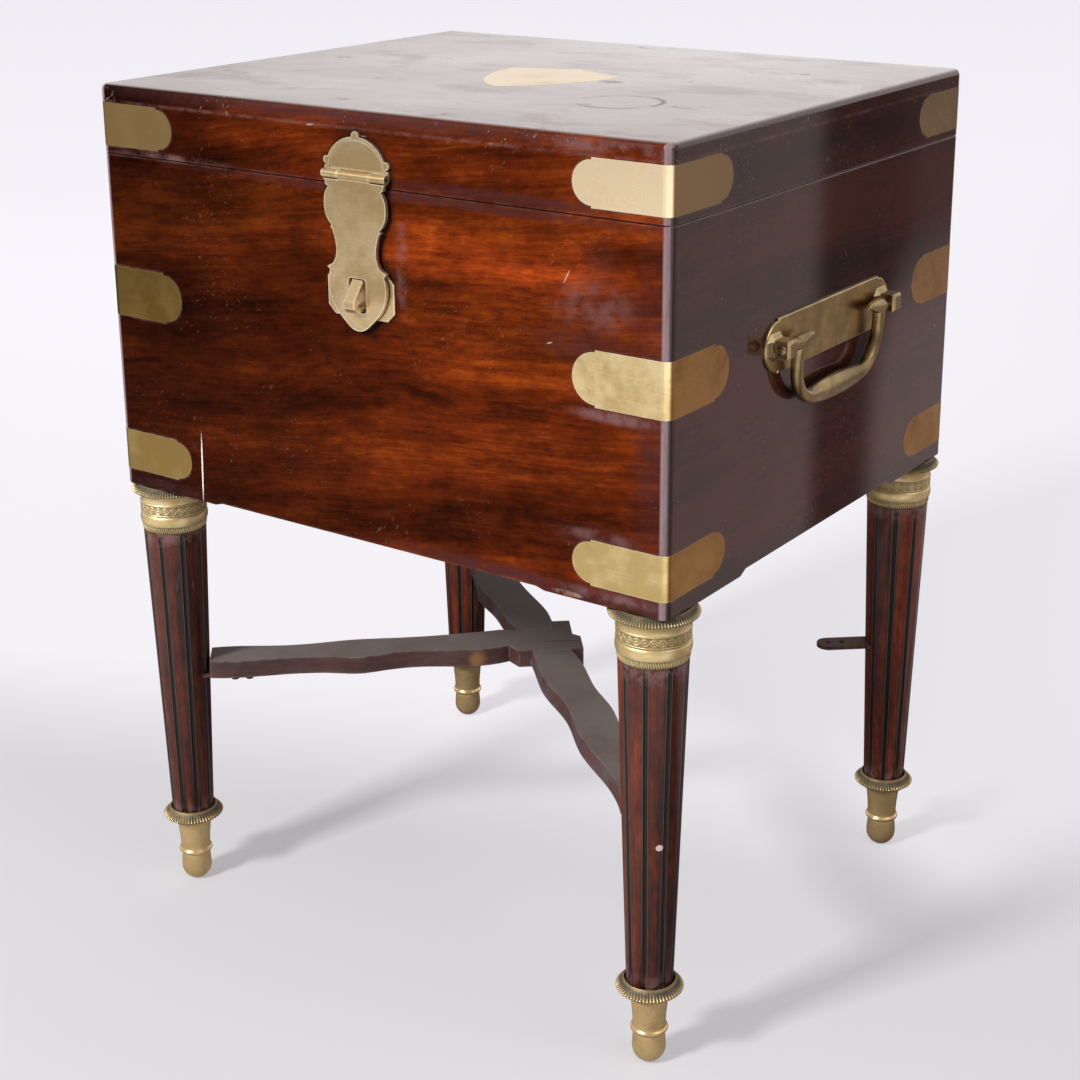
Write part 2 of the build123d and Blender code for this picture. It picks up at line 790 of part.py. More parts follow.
def long_outline(low, height, mode=Mode.ADD):
    """The whole member, from the back left leg to the front right one."""
    with BuildSketch(arm_plane("back_left", low)) as outline:
        with BuildLine():
            Spline(*long_left)
            Line(long_left[-1], long_right[0])
            Spline(*long_right)
            Line(long_right[-1], long_left[0])
        make_face()
    extrude(outline.sketch, amount=height, mode=mode)


with BuildPart() as stretcher_broken:
    broken_outline(arm_low, arm_t)
    long_outline(arm_low, lap_t, Mode.SUBTRACT)
    add(iron_tabs.part, mode=Mode.SUBTRACT)
    add(stretcher_screws.part, mode=Mode.SUBTRACT)
save(stretcher_broken, "stretcher_broken")

with BuildPart() as stretcher_long:
    long_outline(arm_low, arm_t)
    broken_outline(arm_low + lap_t, arm_t - lap_t, Mode.SUBTRACT)
    add(iron_tabs.part, mode=Mode.SUBTRACT)
    add(stretcher_screws.part, mode=Mode.SUBTRACT)
save(stretcher_long, "stretcher_long")


# ---------------------------------------------------------------- legs, collars and feet
def upright(x, y):
    """A plane through a leg's axis: local X is the radius, local Y the height."""
    return Plane(origin=(x, y, 0), x_dir=(1, 0, 0), z_dir=(0, -1, 0))


def cut_flutes(corner):
    """Round flutes that follow the taper of the leg being made."""
    x, y = leg_axis(corner)
    rise = collar_low - foot_seat
    slope = atan2(leg_r_top - leg_r_low, rise)
    for n in range(flutes):
        turn = radians(flute_turn[corner] + n * 360 / flutes)
        out_x, out_y = sin(turn), -cos(turn)
        radius = leg_r_low + flute_out
        foot = (x + out_x * radius, y + out_y * radius, foot_seat)
        way = (out_x * sin(slope), out_y * sin(slope), cos(slope))
        with BuildSketch(Plane(origin=foot, z_dir=way)) as flute:
            Circle(flute_r)
        extrude(flute.sketch, amount=(rise - flute_gap) / cos(slope), mode=Mode.SUBTRACT)


def make_leg(corner):
    """A tapered fluted leg, with a spigot for the foot and a peg for the case."""
    x, y = leg_axis(corner)
    with BuildPart() as leg:
        with BuildSketch(upright(x, y)):
            with BuildLine():
                Polyline(
                    (0, foot_seat - spigot_l), (spigot_r, foot_seat - spigot_l),
                    (spigot_r, foot_seat), (leg_r_low, foot_seat),
                    (leg_r_top, collar_low), (collar_bore, collar_low),
                    (collar_bore, stand_h), (peg_r, stand_h),
                    (peg_r, stand_h + peg_l), (0, stand_h + peg_l), close=True,
                )
            make_face()
        revolve(axis=Axis((x, y, 0), (0, 0, 1)))
        cut_flutes(corner)
        add(iron_tabs.part, mode=Mode.SUBTRACT)
    return leg


def make_collar(corner):
    """The brass collar under the case: ring, plain band, frieze, fillet, cove and flange."""
    x, y = leg_axis(corner)
    bore = collar_bore + fit_gap
    low = collar_low
    band = low + ring_h
    frieze = band + band_h
    fillet_low = frieze + frieze_h
    cove = fillet_low + fillet_h
    rim = cove + cove_h
    with BuildPart() as collar:
        with BuildSketch(upright(x, y)):
            with BuildLine():
                Line((bore, low), (collar_r - 0.8, low))
                ThreePointArc(
                    (collar_r - 0.8, low), (collar_r + 0.2, low + ring_h / 2),
                    (collar_r - 0.9, band),
                )
                Line((collar_r - 0.9, band), (collar_r - 0.3, band + 0.4))
                ThreePointArc(
                    (collar_r - 0.3, band + 0.4), (collar_r + 0.4, band + band_h / 2),
                    (collar_r - 0.3, frieze - 0.4),
                )
                Polyline(
                    (collar_r - 0.3, frieze - 0.4), (collar_r - 1.3, frieze),
                    (collar_r - 0.6, frieze + 0.5), (collar_r - 0.6, fillet_low - 0.5),
                    (collar_r - 1.3, fillet_low), (collar_r - 0.5, fillet_low + 0.5),
                    (collar_r - 0.2, cove),
                )
                ThreePointArc(
                    (collar_r - 0.2, cove), (collar_r + 1.2, cove + 0.62 * cove_h),
                    (flange_r - 0.8, rim),
                )
                ThreePointArc(
                    (flange_r - 0.8, rim), (flange_r, (rim + stand_h) / 2),
                    (flange_r - 0.8, stand_h),
                )
                Polyline((flange_r - 0.8, stand_h), (bore, stand_h), (bore, low))
            make_face()
        revolve(axis=Axis((x, y, 0), (0, 0, 1)))
    return collar


def make_foot(corner):
    """The brass foot: ball, bead, cup and a saucer that slopes down from the leg."""
    x, y = leg_axis(corner)
    bead_low, bead_top = bead_up - bead_t / 2, bead_up + bead_t / 2
    cup_h = saucer_low - bead_top
    flare = saucer_r - cup_r
    bore = spigot_r + fit_gap
    with BuildPart() as foot:
        with BuildSketch(upright(x, y)):
            with BuildLine():
                Line((0, 0), (pad_r, 0))
                ThreePointArc((pad_r, 0), (ball_r, ball_up), (ball_neck, bead_low - 0.8))
                Line((ball_neck, bead_low - 0.8), (ball_neck, bead_low))
                ThreePointArc((ball_neck, bead_low), (bead_r, bead_up), (cup_r, bead_top))
                Spline(
                    (cup_r, bead_top), (cup_r + 0.01 * flare, bead_top + 0.25 * cup_h),
                    (cup_r + 0.08 * flare, bead_top + 0.55 * cup_h),
                    (cup_r + 0.24 * flare, bead_top + 0.8 * cup_h),
                    (saucer_r - 2 * saucer_lip, saucer_low),
                )
                Polyline(
                    (saucer_r - 2 * saucer_lip, saucer_low),
                    (saucer_r, saucer_low + saucer_lip), (saucer_r, saucer_low + 2 * saucer_lip),
                    (saucer_r - saucer_lip, saucer_low + 3 * saucer_lip),
                    (socket_r + socket_wall, foot_h - saucer_lip),
                    (socket_r + socket_wall / 2, foot_h), (socket_r, foot_h - 0.4),
                    (socket_r, foot_seat),
                    (bore, foot_seat), (bore, foot_seat - spigot_l), (0, foot_seat - spigot_l),
                    (0, 0),
                )
            make_face()
        revolve(axis=Axis((x, y, 0), (0, 0, 1)))
    return foot


for corner in corners:
    save(make_leg(corner), f"leg_{corner}")
    save(make_collar(corner), f"collar_{corner}")
    save(make_foot(corner), f"foot_{corner}")

# ---------------------------------------------------------------- inside of the case
with BuildPart() as base_lining:
    with BuildSketch(plan.offset(floor_top)):
        Rectangle(inner_w, inner_d)
    extrude(amount=lining_t)
save(base_lining, "base_lining")

divider_y = partition_front + partition_t / 2 - inner_d / 2
with BuildPart() as partition_long:
    with BuildSketch(plan.offset(lining_top)):
        with Locations((0, divider_y)):
            Rectangle(inner_w, partition_t)
    extrude(amount=partition_h)
save(partition_long, "partition_long")


def make_cross_partitions(cells, y_from, y_to):
    """Short partitions that divide one row of the case into equal cells."""
    pitch = (inner_w + partition_t) / cells
    with BuildPart() as boards:
        with BuildSketch(plan.offset(lining_top)):
            for n in range(1, cells):
                with Locations((n * pitch - (inner_w + partition_t) / 2, (y_from + y_to) / 2)):
                    Rectangle(partition_t, y_to - y_from)
        extrude(amount=partition_h)
    return boards


partitions_front = make_cross_partitions(
    front_cells, -inner_d / 2, divider_y - partition_t / 2
)
partitions_back = make_cross_partitions(
    back_cells, divider_y + partition_t / 2, inner_d / 2
)
save(partitions_front, "partitions_front")
save(partitions_back, "partitions_back")

# ---------------------------------------------------------------- inside of the lid
lining_low = rim_top - lining_t
with BuildPart() as lid_lining:
    with BuildSketch(plan.offset(lining_low)):
        Rectangle(inner_w, inner_d)
    extrude(amount=lining_t)
save(lid_lining, "lid_lining")

with BuildPart() as mirror_glass:
    with BuildSketch(plan.offset(lining_low - glass_t)):
        Rectangle(
            mirror_w - 2 * mirror_rail + 2 * mirror_lip,
            mirror_d - 2 * mirror_rail + 2 * mirror_lip,
        )
    extrude(amount=glass_t)
save(mirror_glass, "mirror_glass")

with BuildPart() as mirror_frame:
    with BuildSketch(plan.offset(lining_low - mirror_t)):
        Rectangle(mirror_w, mirror_d)
        Rectangle(mirror_w - 2 * mirror_rail, mirror_d - 2 * mirror_rail, mode=Mode.SUBTRACT)
    extrude(amount=mirror_t)
    chamfer(mirror_frame.faces().sort_by(Axis.Z)[0].edges(), 2.5)
    add(mirror_glass.part, mode=Mode.SUBTRACT)
save(mirror_frame, "mirror_frame")
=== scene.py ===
# %% [markdown]
# # A brass-bound box on a fluted stand
# This lesson dresses a finished model of an old travelling box. The boards, brasses and legs come
# from the frame at their real size. We give every surface its finish, and turn the pieces whose
# ornament is too fine for the frame: the brass collars, the feet and the swan-neck handles.

from math import atan2, cos, exp, hypot, pi, radians, sin

import bpy
from mathutils import Matrix, Vector


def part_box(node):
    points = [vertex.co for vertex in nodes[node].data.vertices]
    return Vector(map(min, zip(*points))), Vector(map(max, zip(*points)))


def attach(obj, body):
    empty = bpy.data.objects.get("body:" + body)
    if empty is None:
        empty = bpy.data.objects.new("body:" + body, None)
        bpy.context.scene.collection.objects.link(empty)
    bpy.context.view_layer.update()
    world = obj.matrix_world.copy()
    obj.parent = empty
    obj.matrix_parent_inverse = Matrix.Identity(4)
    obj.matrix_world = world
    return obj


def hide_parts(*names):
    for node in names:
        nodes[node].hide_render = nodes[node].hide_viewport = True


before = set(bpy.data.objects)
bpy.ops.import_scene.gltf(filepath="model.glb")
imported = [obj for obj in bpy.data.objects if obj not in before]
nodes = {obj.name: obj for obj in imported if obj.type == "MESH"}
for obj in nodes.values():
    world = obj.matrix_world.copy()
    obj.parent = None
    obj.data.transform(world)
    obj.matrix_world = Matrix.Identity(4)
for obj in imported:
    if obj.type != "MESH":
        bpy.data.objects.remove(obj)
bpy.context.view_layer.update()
mm = 0.001
bpy.ops.object.select_all(action="DESELECT")

# %% [markdown]
# The finishes are placed by the object's own measures, so we read them from the frame once: the
# faces of the case, the four leg axes and the levels of the stand.

# %% Read the places that the finishes need
case_low, case_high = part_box("front_board")
front_y, case_bottom, case_top = case_low.y, case_low.z, case_high.z
side_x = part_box("right_board")[1].x
mid_y = (front_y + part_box("back_board")[1].y) / 2
lid_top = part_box("lid_panel")[1].z
corner_names = ("front_left", "front_right", "back_left", "back_right")


def middle_of(node):
    """The middle of a node's box."""
    low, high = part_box(node)
    return (low + high) / 2


leg_axes = {name: middle_of(f"foot_{name}") for name in corner_names}
print("front face", round(front_y, 4), "lid top", round(lid_top, 4))

# %% [markdown]
# Shader nodes are wired by links from one node's output to another's input. Written out, the links
# hide the recipe. So an output is wrapped as a wire that can be added and multiplied, each sum
# being one Math node, and a material then reads like arithmetic.

# %% Wires


class Wire:
    """One output of a node. A sum on wires adds a Math node and gives its output."""

    def __init__(self, tree, socket):
        self.tree, self.socket = tree, socket

    def __add__(self, other):
        return calc("ADD", self, other)

    def __sub__(self, other):
        return calc("SUBTRACT", self, other)

    def __rsub__(self, other):
        return calc("SUBTRACT", other, self)

    def __mul__(self, other):
        return calc("MULTIPLY", self, other)

    def __truediv__(self, other):
        return calc("DIVIDE", self, other)

    def __abs__(self):
        return calc("ABSOLUTE", self)


class Outputs:
    """A node's outputs as wires, by name or by number."""

    def __init__(self, tree, node):
        self.tree, self.node = tree, node

    def __getitem__(self, key):
        return Wire(self.tree, self.node.outputs[key])


def plug(socket, value):
    """Put a wire, a number, a colour or a vector into a socket."""
    if isinstance(value, Wire):
        value.tree.links.new(value.socket, socket)
    else:
        socket.default_value = value


def add_node(tree, kind, sockets=None, **settings):
    """Add a node, set it up and fill its sockets, which go by name or by number."""
    made = tree.nodes.new(kind)
    for name, value in settings.items():
        setattr(made, name, value)
    for name, value in (sockets or {}).items():
        plug(made.inputs[name], value)
    return Outputs(tree, made)


def tree_of(*values):
    """The tree of the first wire among some values."""
    return next(value.tree for value in values if isinstance(value, Wire))


# %% [markdown]
# Each of these helpers adds one node. A soft step turns any range of a number into another range,
# and noise takes either one scale or three, which stretch it along the grain.

# %% Helpers that add one node


def calc(operation, *values):
    """One sum on numbers."""
    sockets = dict(enumerate(values))
    return add_node(tree_of(*values), "ShaderNodeMath", sockets, operation=operation)[0]


def larger(first, second):
    """The larger of two numbers."""
    return calc("MAXIMUM", first, second)


def vector_sum(operation, *values):
    """One sum on vectors. A length and a dot product are numbers."""
    made = add_node(
        tree_of(*values), "ShaderNodeVectorMath", dict(enumerate(values)), operation=operation
    )
    return made["Value" if operation in ("LENGTH", "DOT_PRODUCT") else "Vector"]


def remap(value, low, high, to_low=0.0, to_high=1.0):
    """A soft step: up to low it gives to_low, and from high on to_high."""
    sockets = {0: value, 1: low, 2: high, 3: to_low, 4: to_high}
    return add_node(value.tree, "ShaderNodeMapRange", sockets, interpolation_type="SMOOTHSTEP")[0]


def mix(amount, first, second, how="MIX"):
    """Mix two colours."""
    return add_node(
        tree_of(amount, first, second), "ShaderNodeMix", {0: amount, 6: first, 7: second},
        data_type="RGBA", blend_type=how,
    )[2]


def between(amount, first, second):
    """Mix two numbers."""
    sockets = {0: amount, 2: first, 3: second}
    return add_node(amount.tree, "ShaderNodeMix", sockets, data_type="FLOAT")[0]


def stretch(vector, scale=(1, 1, 1), turn=(0, 0, 0), move=(0, 0, 0)):
    """Scale, turn and move the coordinates that a pattern is drawn in."""
    sockets = {"Vector": vector, "Scale": scale, "Rotation": turn, "Location": move}
    return add_node(vector.tree, "ShaderNodeMapping", sockets)[0]


def noise(vector, scale, detail=4.0, rough=0.55, distort=0.0):
    """Cloudy noise from 0 to 1."""
    if isinstance(scale, tuple):
        vector, scale = stretch(vector, scale), 1.0
    sockets = {"Vector": vector, "Scale": scale, "Detail": detail, "Roughness": rough,
               "Distortion": distort}
    return add_node(vector.tree, "ShaderNodeTexNoise", sockets)[0]


def split(vector):
    """A vector's X, Y and Z."""
    return add_node(vector.tree, "ShaderNodeSeparateXYZ", {0: vector})


def join(x, y, z):
    """A vector from three numbers."""
    return add_node(tree_of(x, y, z), "ShaderNodeCombineXYZ", {0: x, 1: y, 2: z})[0]


def normal_of(tree):
    """The way the surface points."""
    return add_node(tree, "ShaderNodeNewGeometry")["Normal"]


def openness(tree, distance, only_local=False):
    """1 in the open, falling towards 0 in a hollow narrower than the distance."""
    return add_node(
        tree, "ShaderNodeAmbientOcclusion", {"Distance": distance}, samples=4,
        only_local=only_local,
    )["AO"]


def bump(height, distance, strength):
    """Turn a height into a normal; distance is the real depth in metres."""
    sockets = {"Strength": strength, "Distance": distance, "Height": height}
    return add_node(height.tree, "ShaderNodeBump", sockets)[0]


# %% [markdown]
# A look that several finishes share is a node group: built once, then placed in each material with
# that material's own values. The kind of each input follows from its value.

# %% Helpers for node groups
socket_kinds = {3: "NodeSocketVector", 4: "NodeSocketColor"}


def spaced(values):
    """Named values with each underscore turned into the space of a socket's name."""
    return {name.replace("_", " "): value for name, value in values.items()}


def make_group(name, fill, outputs, **inputs):
    """A node group. fill takes the group's inputs and gives its outputs, in order."""
    group = bpy.data.node_groups.new(name, "ShaderNodeTree")
    for label, value in {"Vector": (0, 0, 0), **spaced(inputs)}.items():
        kind = "NodeSocketFloat" if isinstance(value, float) else socket_kinds[len(value)]
        socket = group.interface.new_socket(name=label, in_out="INPUT", socket_type=kind)
        socket.default_value = value
    for label in outputs:
        kind = "NodeSocketColor" if label == "Color" else "NodeSocketFloat"
        group.interface.new_socket(name=label, in_out="OUTPUT", socket_type=kind)
    given = Outputs(group, group.nodes.new("NodeGroupInput"))
    end = group.nodes.new("NodeGroupOutput")
    for label, wire in zip(outputs, fill(given)):
        plug(end.inputs[label], wire)
    print("group:", name, len(group.nodes), "nodes")
    return group


def use_group(group, **values):
    """Place a node group, with these values in its inputs."""
    return add_node(
        tree_of(*values.values()), "ShaderNodeGroup", spaced(values), node_tree=group
    )


# %% [markdown]
# Mahogany has three things the eye reads at once: broad bands of light and dark that follow the
# board, finer streaks inside them, and short dark pores no wider than a hair. Each is noise that
# is stretched along the grain, and a group keeps the three together for every board.

# %% Node group: mahogany grain


def fill_grain(given):
    """Colour, height and tone. The grain runs along X of the vector that comes in."""
    place = given["Vector"]
    slow = (noise(place, (3, 5, 5), detail=2) - 0.5) * 0.05
    bent = vector_sum("ADD", place, join(0, slow, slow))
    fibres = noise(bent, (14, 420, 420), detail=3, rough=0.6)
    tone = noise(bent, (1.3, 15, 15), detail=3, rough=0.5, distort=0.1)
    for part, share in (
        (noise(bent, (4, 90, 90), rough=0.6), 0.34), (fibres, 0.28),
        (noise(place, (22, 30, 30), rough=0.6), 0.3),
        (noise(place, (90, 230, 230), rough=0.65), 0.32),
    ):
        tone = (part - 0.5) * share + tone
    tone = (tone - 0.5) * given["Figure"] + 0.5
    colour = mix(remap(tone, 0.22, 0.54), given["Dark"], given["Middle"])
    colour = mix(remap(tone, 0.46, 0.8), colour, given["Light"])
    pore = remap(noise(bent, (55, 1500, 1500), detail=2, rough=0.5), 0.6, 0.7)
    colour = mix(pore * given["Pores"], colour, given["Dark"])
    return colour, fibres * 0.4 - pore, tone


grain_group = make_group(
    "mahogany_grain", fill_grain, ("Color", "Height", "Streak"), Dark=(0.03, 0.008, 0.004, 1),
    Middle=(0.12, 0.03, 0.01, 1), Light=(0.3, 0.08, 0.02, 1), Figure=1.0, Pores=0.5,
)

# %% [markdown]
# Hands, cloths and knocks rub the polish from edges first. The Bevel node looks a little way
# round each point for another face; where its softened normal differs from the true one, there is
# an edge. Noise then breaks the line up, because wear is never even.

# %% Node group: rubbed edges


def fill_edges(given):
    """1 on a rubbed edge, and 0 elsewhere."""
    soft = add_node(given.tree, "ShaderNodeBevel", {"Radius": given["Radius"]}, samples=4)[0]
    edge = remap(vector_sum("DOT_PRODUCT", soft, normal_of(given.tree)), 0.995, 0.86)
    cloud = noise(given["Vector"], 70, detail=5, rough=0.7)
    broken = (cloud - 0.5) * given["Patchiness"] + 0.5
    return (edge * remap(broken, 0.38, 0.6),)


edge_group = make_group("rubbed_edges", fill_edges, ("Mask",), Radius=0.003, Patchiness=0.6)

# %% [markdown]
# Scratches are long, thin and rare. Noise stretched a hundredfold gives lines; a high threshold
# keeps only a few of them, and a second, cloudy noise cuts them into lengths.

# %% Node group: scratches


def fill_scratches(given):
    """Two families of lines that cross."""
    turned = stretch(given["Vector"], turn=given["Turn"])
    families = [
        remap(noise(stretch(turned, scale, (angle, angle, angle)), 1.0, detail=1), 0.7, 0.74)
        for scale, angle in (((9, 420, 420), 0.35), ((14, 600, 600), -0.9))
    ]
    cut = remap(noise(turned, 22, detail=3), 0.5, 0.62)
    return (larger(*families) * cut * given["Amount"],)


scratch_group = make_group(
    "scratches", fill_scratches, ("Mask",), Turn=(0, 0, 0), Amount=0.5
)

# %% [markdown]
# Some marks have a place of their own: a pale crack low on the front, a scuffed corner, the ring
# left by a glass. This group draws one soft-edged oval anywhere on the object, given its middle
# and its three half sizes, so that each mark is a line of numbers in the material it belongs to.

# %% Node group: one placed mark


def fill_mark(given):
    """1 inside the oval and 0 outside it, and how far out a place lies, 1 being its edge."""
    moved = vector_sum("SUBTRACT", given["Vector"], given["Middle"])
    turned = stretch(moved, turn=given["Turn"])
    far = vector_sum("LENGTH", vector_sum("DIVIDE", turned, given["Half size"]))
    ragged = far + noise(given["Vector"], 160, detail=3) * 0.3 - 0.15
    return remap(ragged, 1.0 - given["Soft"], 1.0, 1.0, 0.0), far


mark_group = make_group(
    "placed_mark", fill_mark, ("Mask", "Distance"), Middle=(0, 0, 0), Turn=(0, 0, 0),
    Half_size=(0.01, 0.01, 0.01), Soft=0.5,
)


def mark(place, middle, half, turn=(0, 0, 0), soft=0.5):
    """One placed mark's mask."""
    return use_group(
        mark_group, Vector=place, Middle=middle, Half_size=half, Turn=turn, Soft=soft
    )["Mask"]


# %% [markdown]
# Old brass is never one colour. Where it is handled it stays straw yellow, where it isn't it turns
# brown, and the two meet in clouds with small dark specks. The group gives the colour, a roughness
# that follows the tarnish, and a faint height for the pitting.

# %% Node group: tarnished brass


def fill_tarnish(given):
    """Colour, roughness and height."""
    place = given["Vector"]
    clouds = noise(place, 26, detail=5, distort=0.6)
    blotch = noise(place, 95, detail=5, rough=0.65)
    wipe = noise(place, (40, 40, 700)) - 0.5
    level = clouds * 0.7 + blotch * 0.3 + wipe * 0.12 + given["Tarnish"] - 0.5
    colour = mix(remap(level, 0.36, 0.6), given["Bright"], given["Toned"])
    colour = mix(remap(level, 0.62, 0.86), colour, given["Brown"])
    speck = remap(noise(place, 900, detail=2), 0.7, 0.78) * 0.4
    colour = mix(speck, colour, given["Brown"])
    return colour, remap(level, 0.25, 0.85, 0.24, 0.46), blotch * 0.3 - speck


tarnish_group = make_group(
    "tarnished_brass", fill_tarnish, ("Color", "Roughness", "Height"),
    Bright=(0.8, 0.62, 0.36, 1), Toned=(0.5, 0.36, 0.17, 1), Brown=(0.16, 0.09, 0.045, 1),
    Tarnish=0.5,
)

# %% [markdown]
# Every material starts the same way: one Principled surface, with coordinates taken from the
# object. The pieces stand at the world's origin, so those coordinates are real places in metres.

# %% Helpers that start and finish a material


def start_material(name):
    """A material, its tree, its Principled surface and the object's coordinates."""
    made = bpy.data.materials.new(name)
    made.use_nodes = True
    tree = made.node_tree
    return made, tree, tree.nodes["Principled BSDF"], add_node(tree, "ShaderNodeTexCoord")["Object"]


def set_sockets(surface, **values):
    """Fill the surface's sockets; an underscore in a name stands for a space."""
    for name, value in spaced(values).items():
        plug(surface.inputs[name], value)


# %% [markdown]
# A board's look is a recipe of four things: colour, roughness, height and how much polish is left.
# The front is the show side: orange-red mahogany with long, slightly sloping streaks, and a
# painted shade that darkens it to the left. Its polish has gone dry, so it reflects little. A pale
# bloom, partly a painted sheen, lies round the right-hand straps, an old crack runs up from the
# lower edge, and the edge itself is scuffed to bare wood. Dark purple bands, partly stains and
# partly painted shade, follow the seam, the lid's rounded top edge, the lower edge and the
# right-hand corner.

# %% The front's marks
grey_bloom = (0.2, 0.105, 0.1, 1)
# purple paints stains, and painted shade along the seam and the rounded edges.
purple = (0.06, 0.021, 0.021, 1)
lilac_reflection = (0.3, 0.215, 0.225, 1)
bare_wood = (0.5, 0.34, 0.26, 1)
chalk = (0.75, 0.68, 0.62, 1)
raw_pink = (0.62, 0.46, 0.4, 1)
right = side_x
body_height = case_top - case_bottom
# First table: stains, and painted shade along the seam, rounded edges and right-hand corner.
# Each mark: place across, height above the case's bottom, half width, half height, strength, turn
stains_and_shades = (
    (0.05, 0.2475, 0.26, 0.0045, 0.75, 0), (0.12, 0.256, 0.14, 0.0055, 0.7, 0),
    (0.0, 0.297, 0.3, 0.009, 0.85, 0), (right - 0.012, 0.12, 0.02, 0.17, 0.55, 0),
    (right - 0.06, 0.17, 0.06, 0.016, 0.5, 0), (0.12, 0.006, 0.15, 0.008, 0.85, 0),
    (right - 0.01, 0.004, 0.1, 0.016, 0.9, 0), (right - 0.05, 0.045, 0.05, 0.012, 0.6, 0),
    (right - 0.05, 0.215, 0.018, 0.03, 0.4, 0), (-0.2, 0.005, 0.08, 0.008, 0.5, 0),
    (0.0, 0.17, 0.04, 0.012, 0.4, 0),
)
# Pale bloom on the polish, partly a painted sheen in place of the polish's own shine.
blooms_and_sheens = (
    (right - 0.055, 0.196, 0.045, 0.022, 0.36, 0), (right - 0.04, 0.127, 0.045, 0.006, 0.75, 0),
    (right - 0.04, 0.0075, 0.05, 0.0055, 0.7, 0), (right - 0.05, 0.047, 0.04, 0.006, 0.5, 0),
    (right - 0.04, body_height + 0.043, 0.07, 0.0065, 0.6, 0),
    (-0.17, body_height + 0.002, 0.07, 0.004, 0.5, 0), (0.035, 0.2, 0.007, 0.05, 0.45, 0),
)
cracks = ((-0.1585, 0.026, 0.0009, 0.03, 1.0, -0.035),)
scuffs = ((right - 0.075, 0.003, 0.014, 0.0024, 0.7, 0),)
nicks = (
    (-0.04, 0.288, 0.004, 0.0007, 0.5, 0.1), (0.005, 0.284, 0.0035, 0.0007, 0.5, 0.05),
    (0.165, 0.212, 0.006, 0.0007, 0.5, 1.1), (0.152, 0.168, 0.003, 0.0007, 0.5, 0.3),
)
mark_depth = 0.01


def front_marks(place, colour):
    """Lay the front's own marks over its colour, some of them painted shade and sheen."""
    patchy = remap(noise(place, 55, rough=0.7), 0.36, 0.62)
    uneven = remap(patchy, 0.0, 1.0, 0.6, 1.0)
    for marks, paint, soft, broken in (
        (stains_and_shades, purple, 0.95, uneven), (blooms_and_sheens, grey_bloom, 0.8, patchy),
        (cracks, chalk, 0.4, None), (scuffs, bare_wood, 0.5, patchy),
        (nicks, raw_pink, 0.5, None),
    ):
        for across, up, wide, tall, strength, turn in marks:
            middle = (across, front_y, case_bottom + up)
            shape = mark(place, middle, (wide, mark_depth, tall), (0, turn, 0), soft)
            if broken:
                shape = shape * broken
            colour = mix(shape * strength, colour, paint)
    return colour


print("front:", len(stains_and_shades + blooms_and_sheens + cracks + scuffs + nicks), "marks")

# %% [markdown]
# Under the marks, the veneer itself is uneven: bright in a band to the right of the hasp, and dark
# on the left, where a painted shade darkens the whole front towards its left end. Broad soft ovals
# raise or lower the tone, and clouds that follow the sloping grain break them up.

# %% The front's look
grain_slope = radians(7)
# place across, height above the case's bottom, half width, half height, and how much tone it adds
front_tones = (
    (0.1, 0.214, 0.17, 0.027, 2.8), (0.06, 0.14, 0.12, 0.04, 0.35), (0.12, 0.085, 0.1, 0.04, 0.3),
    (0.19, 0.168, 0.1, 0.02, -0.35), (-0.2, 0.06, 0.14, 0.1, 0.4), (0.1, 0.02, 0.16, 0.025, -0.05),
    (0.06, 0.272, 0.12, 0.014, 0.5), (-0.1, 0.275, 0.1, 0.012, 0.6),
)
print("front:", len(front_tones), "places where the veneer is brighter or darker")


def front_look(place):
    """Colour, roughness, height and polish of the front's mahogany."""
    sloped = stretch(place, turn=(0, grain_slope, 0))
    grain = use_group(
        grain_group, Vector=sloped, Dark=(0.062, 0.0085, 0.0018, 1),
        Middle=(0.2, 0.028, 0.0035, 1), Light=(0.48, 0.082, 0.0075, 1), Figure=1.3, Pores=0.6,
    )
    # Painted shade: the front darkens towards its left end, where less light falls on it.
    tone = remap(split(place)["X"], -0.24, 0.12, 0.1, 0.47)
    tone = tone * remap(noise(sloped, (4.5, 5, 17)), 0.34, 0.66, 0.52, 1.45)
    for across, up, wide, tall, gain in front_tones:
        middle = (across, front_y, case_bottom + up)
        tone = tone * (mark(place, middle, (wide, 0.02, tall), soft=1.0) * gain + 1.0)
    colour = front_marks(place, mix(1.0, grain["Color"], join(tone, tone, tone), "MULTIPLY"))
    return colour, remap(grain["Streak"], 0.2, 0.8, 0.34, 0.48), grain["Height"], 0.0


# %% [markdown]
# The sides and the back have darkened to purple-brown but kept their polish; the sides are painted
# darker still, as shade. The inside never saw the light and stayed redder.

# %% The plain boards' looks
along, crosswise = (0, 0, 0), (0, 0, radians(90))
dust_grey = (0.16, 0.11, 0.11, 1)


def plain_look(turn, tones, haze, polish, figure=0.9):
    """A look without marks of its own; turn lays its grain, and tones are dark to light."""

    def look(place):
        grain = use_group(
            grain_group, Vector=stretch(place, turn=turn), Dark=tones[0], Middle=tones[1],
            Light=tones[2], Figure=figure, Pores=0.5,
        )
        cloud = noise(place, 9, detail=5, rough=0.6)
        colour = mix(remap(cloud, 0.35, 0.75) * haze, grain["Color"], dust_grey)
        return colour, remap(cloud, 0.3, 0.75, 0.24, 0.38), grain["Height"], polish

    return look


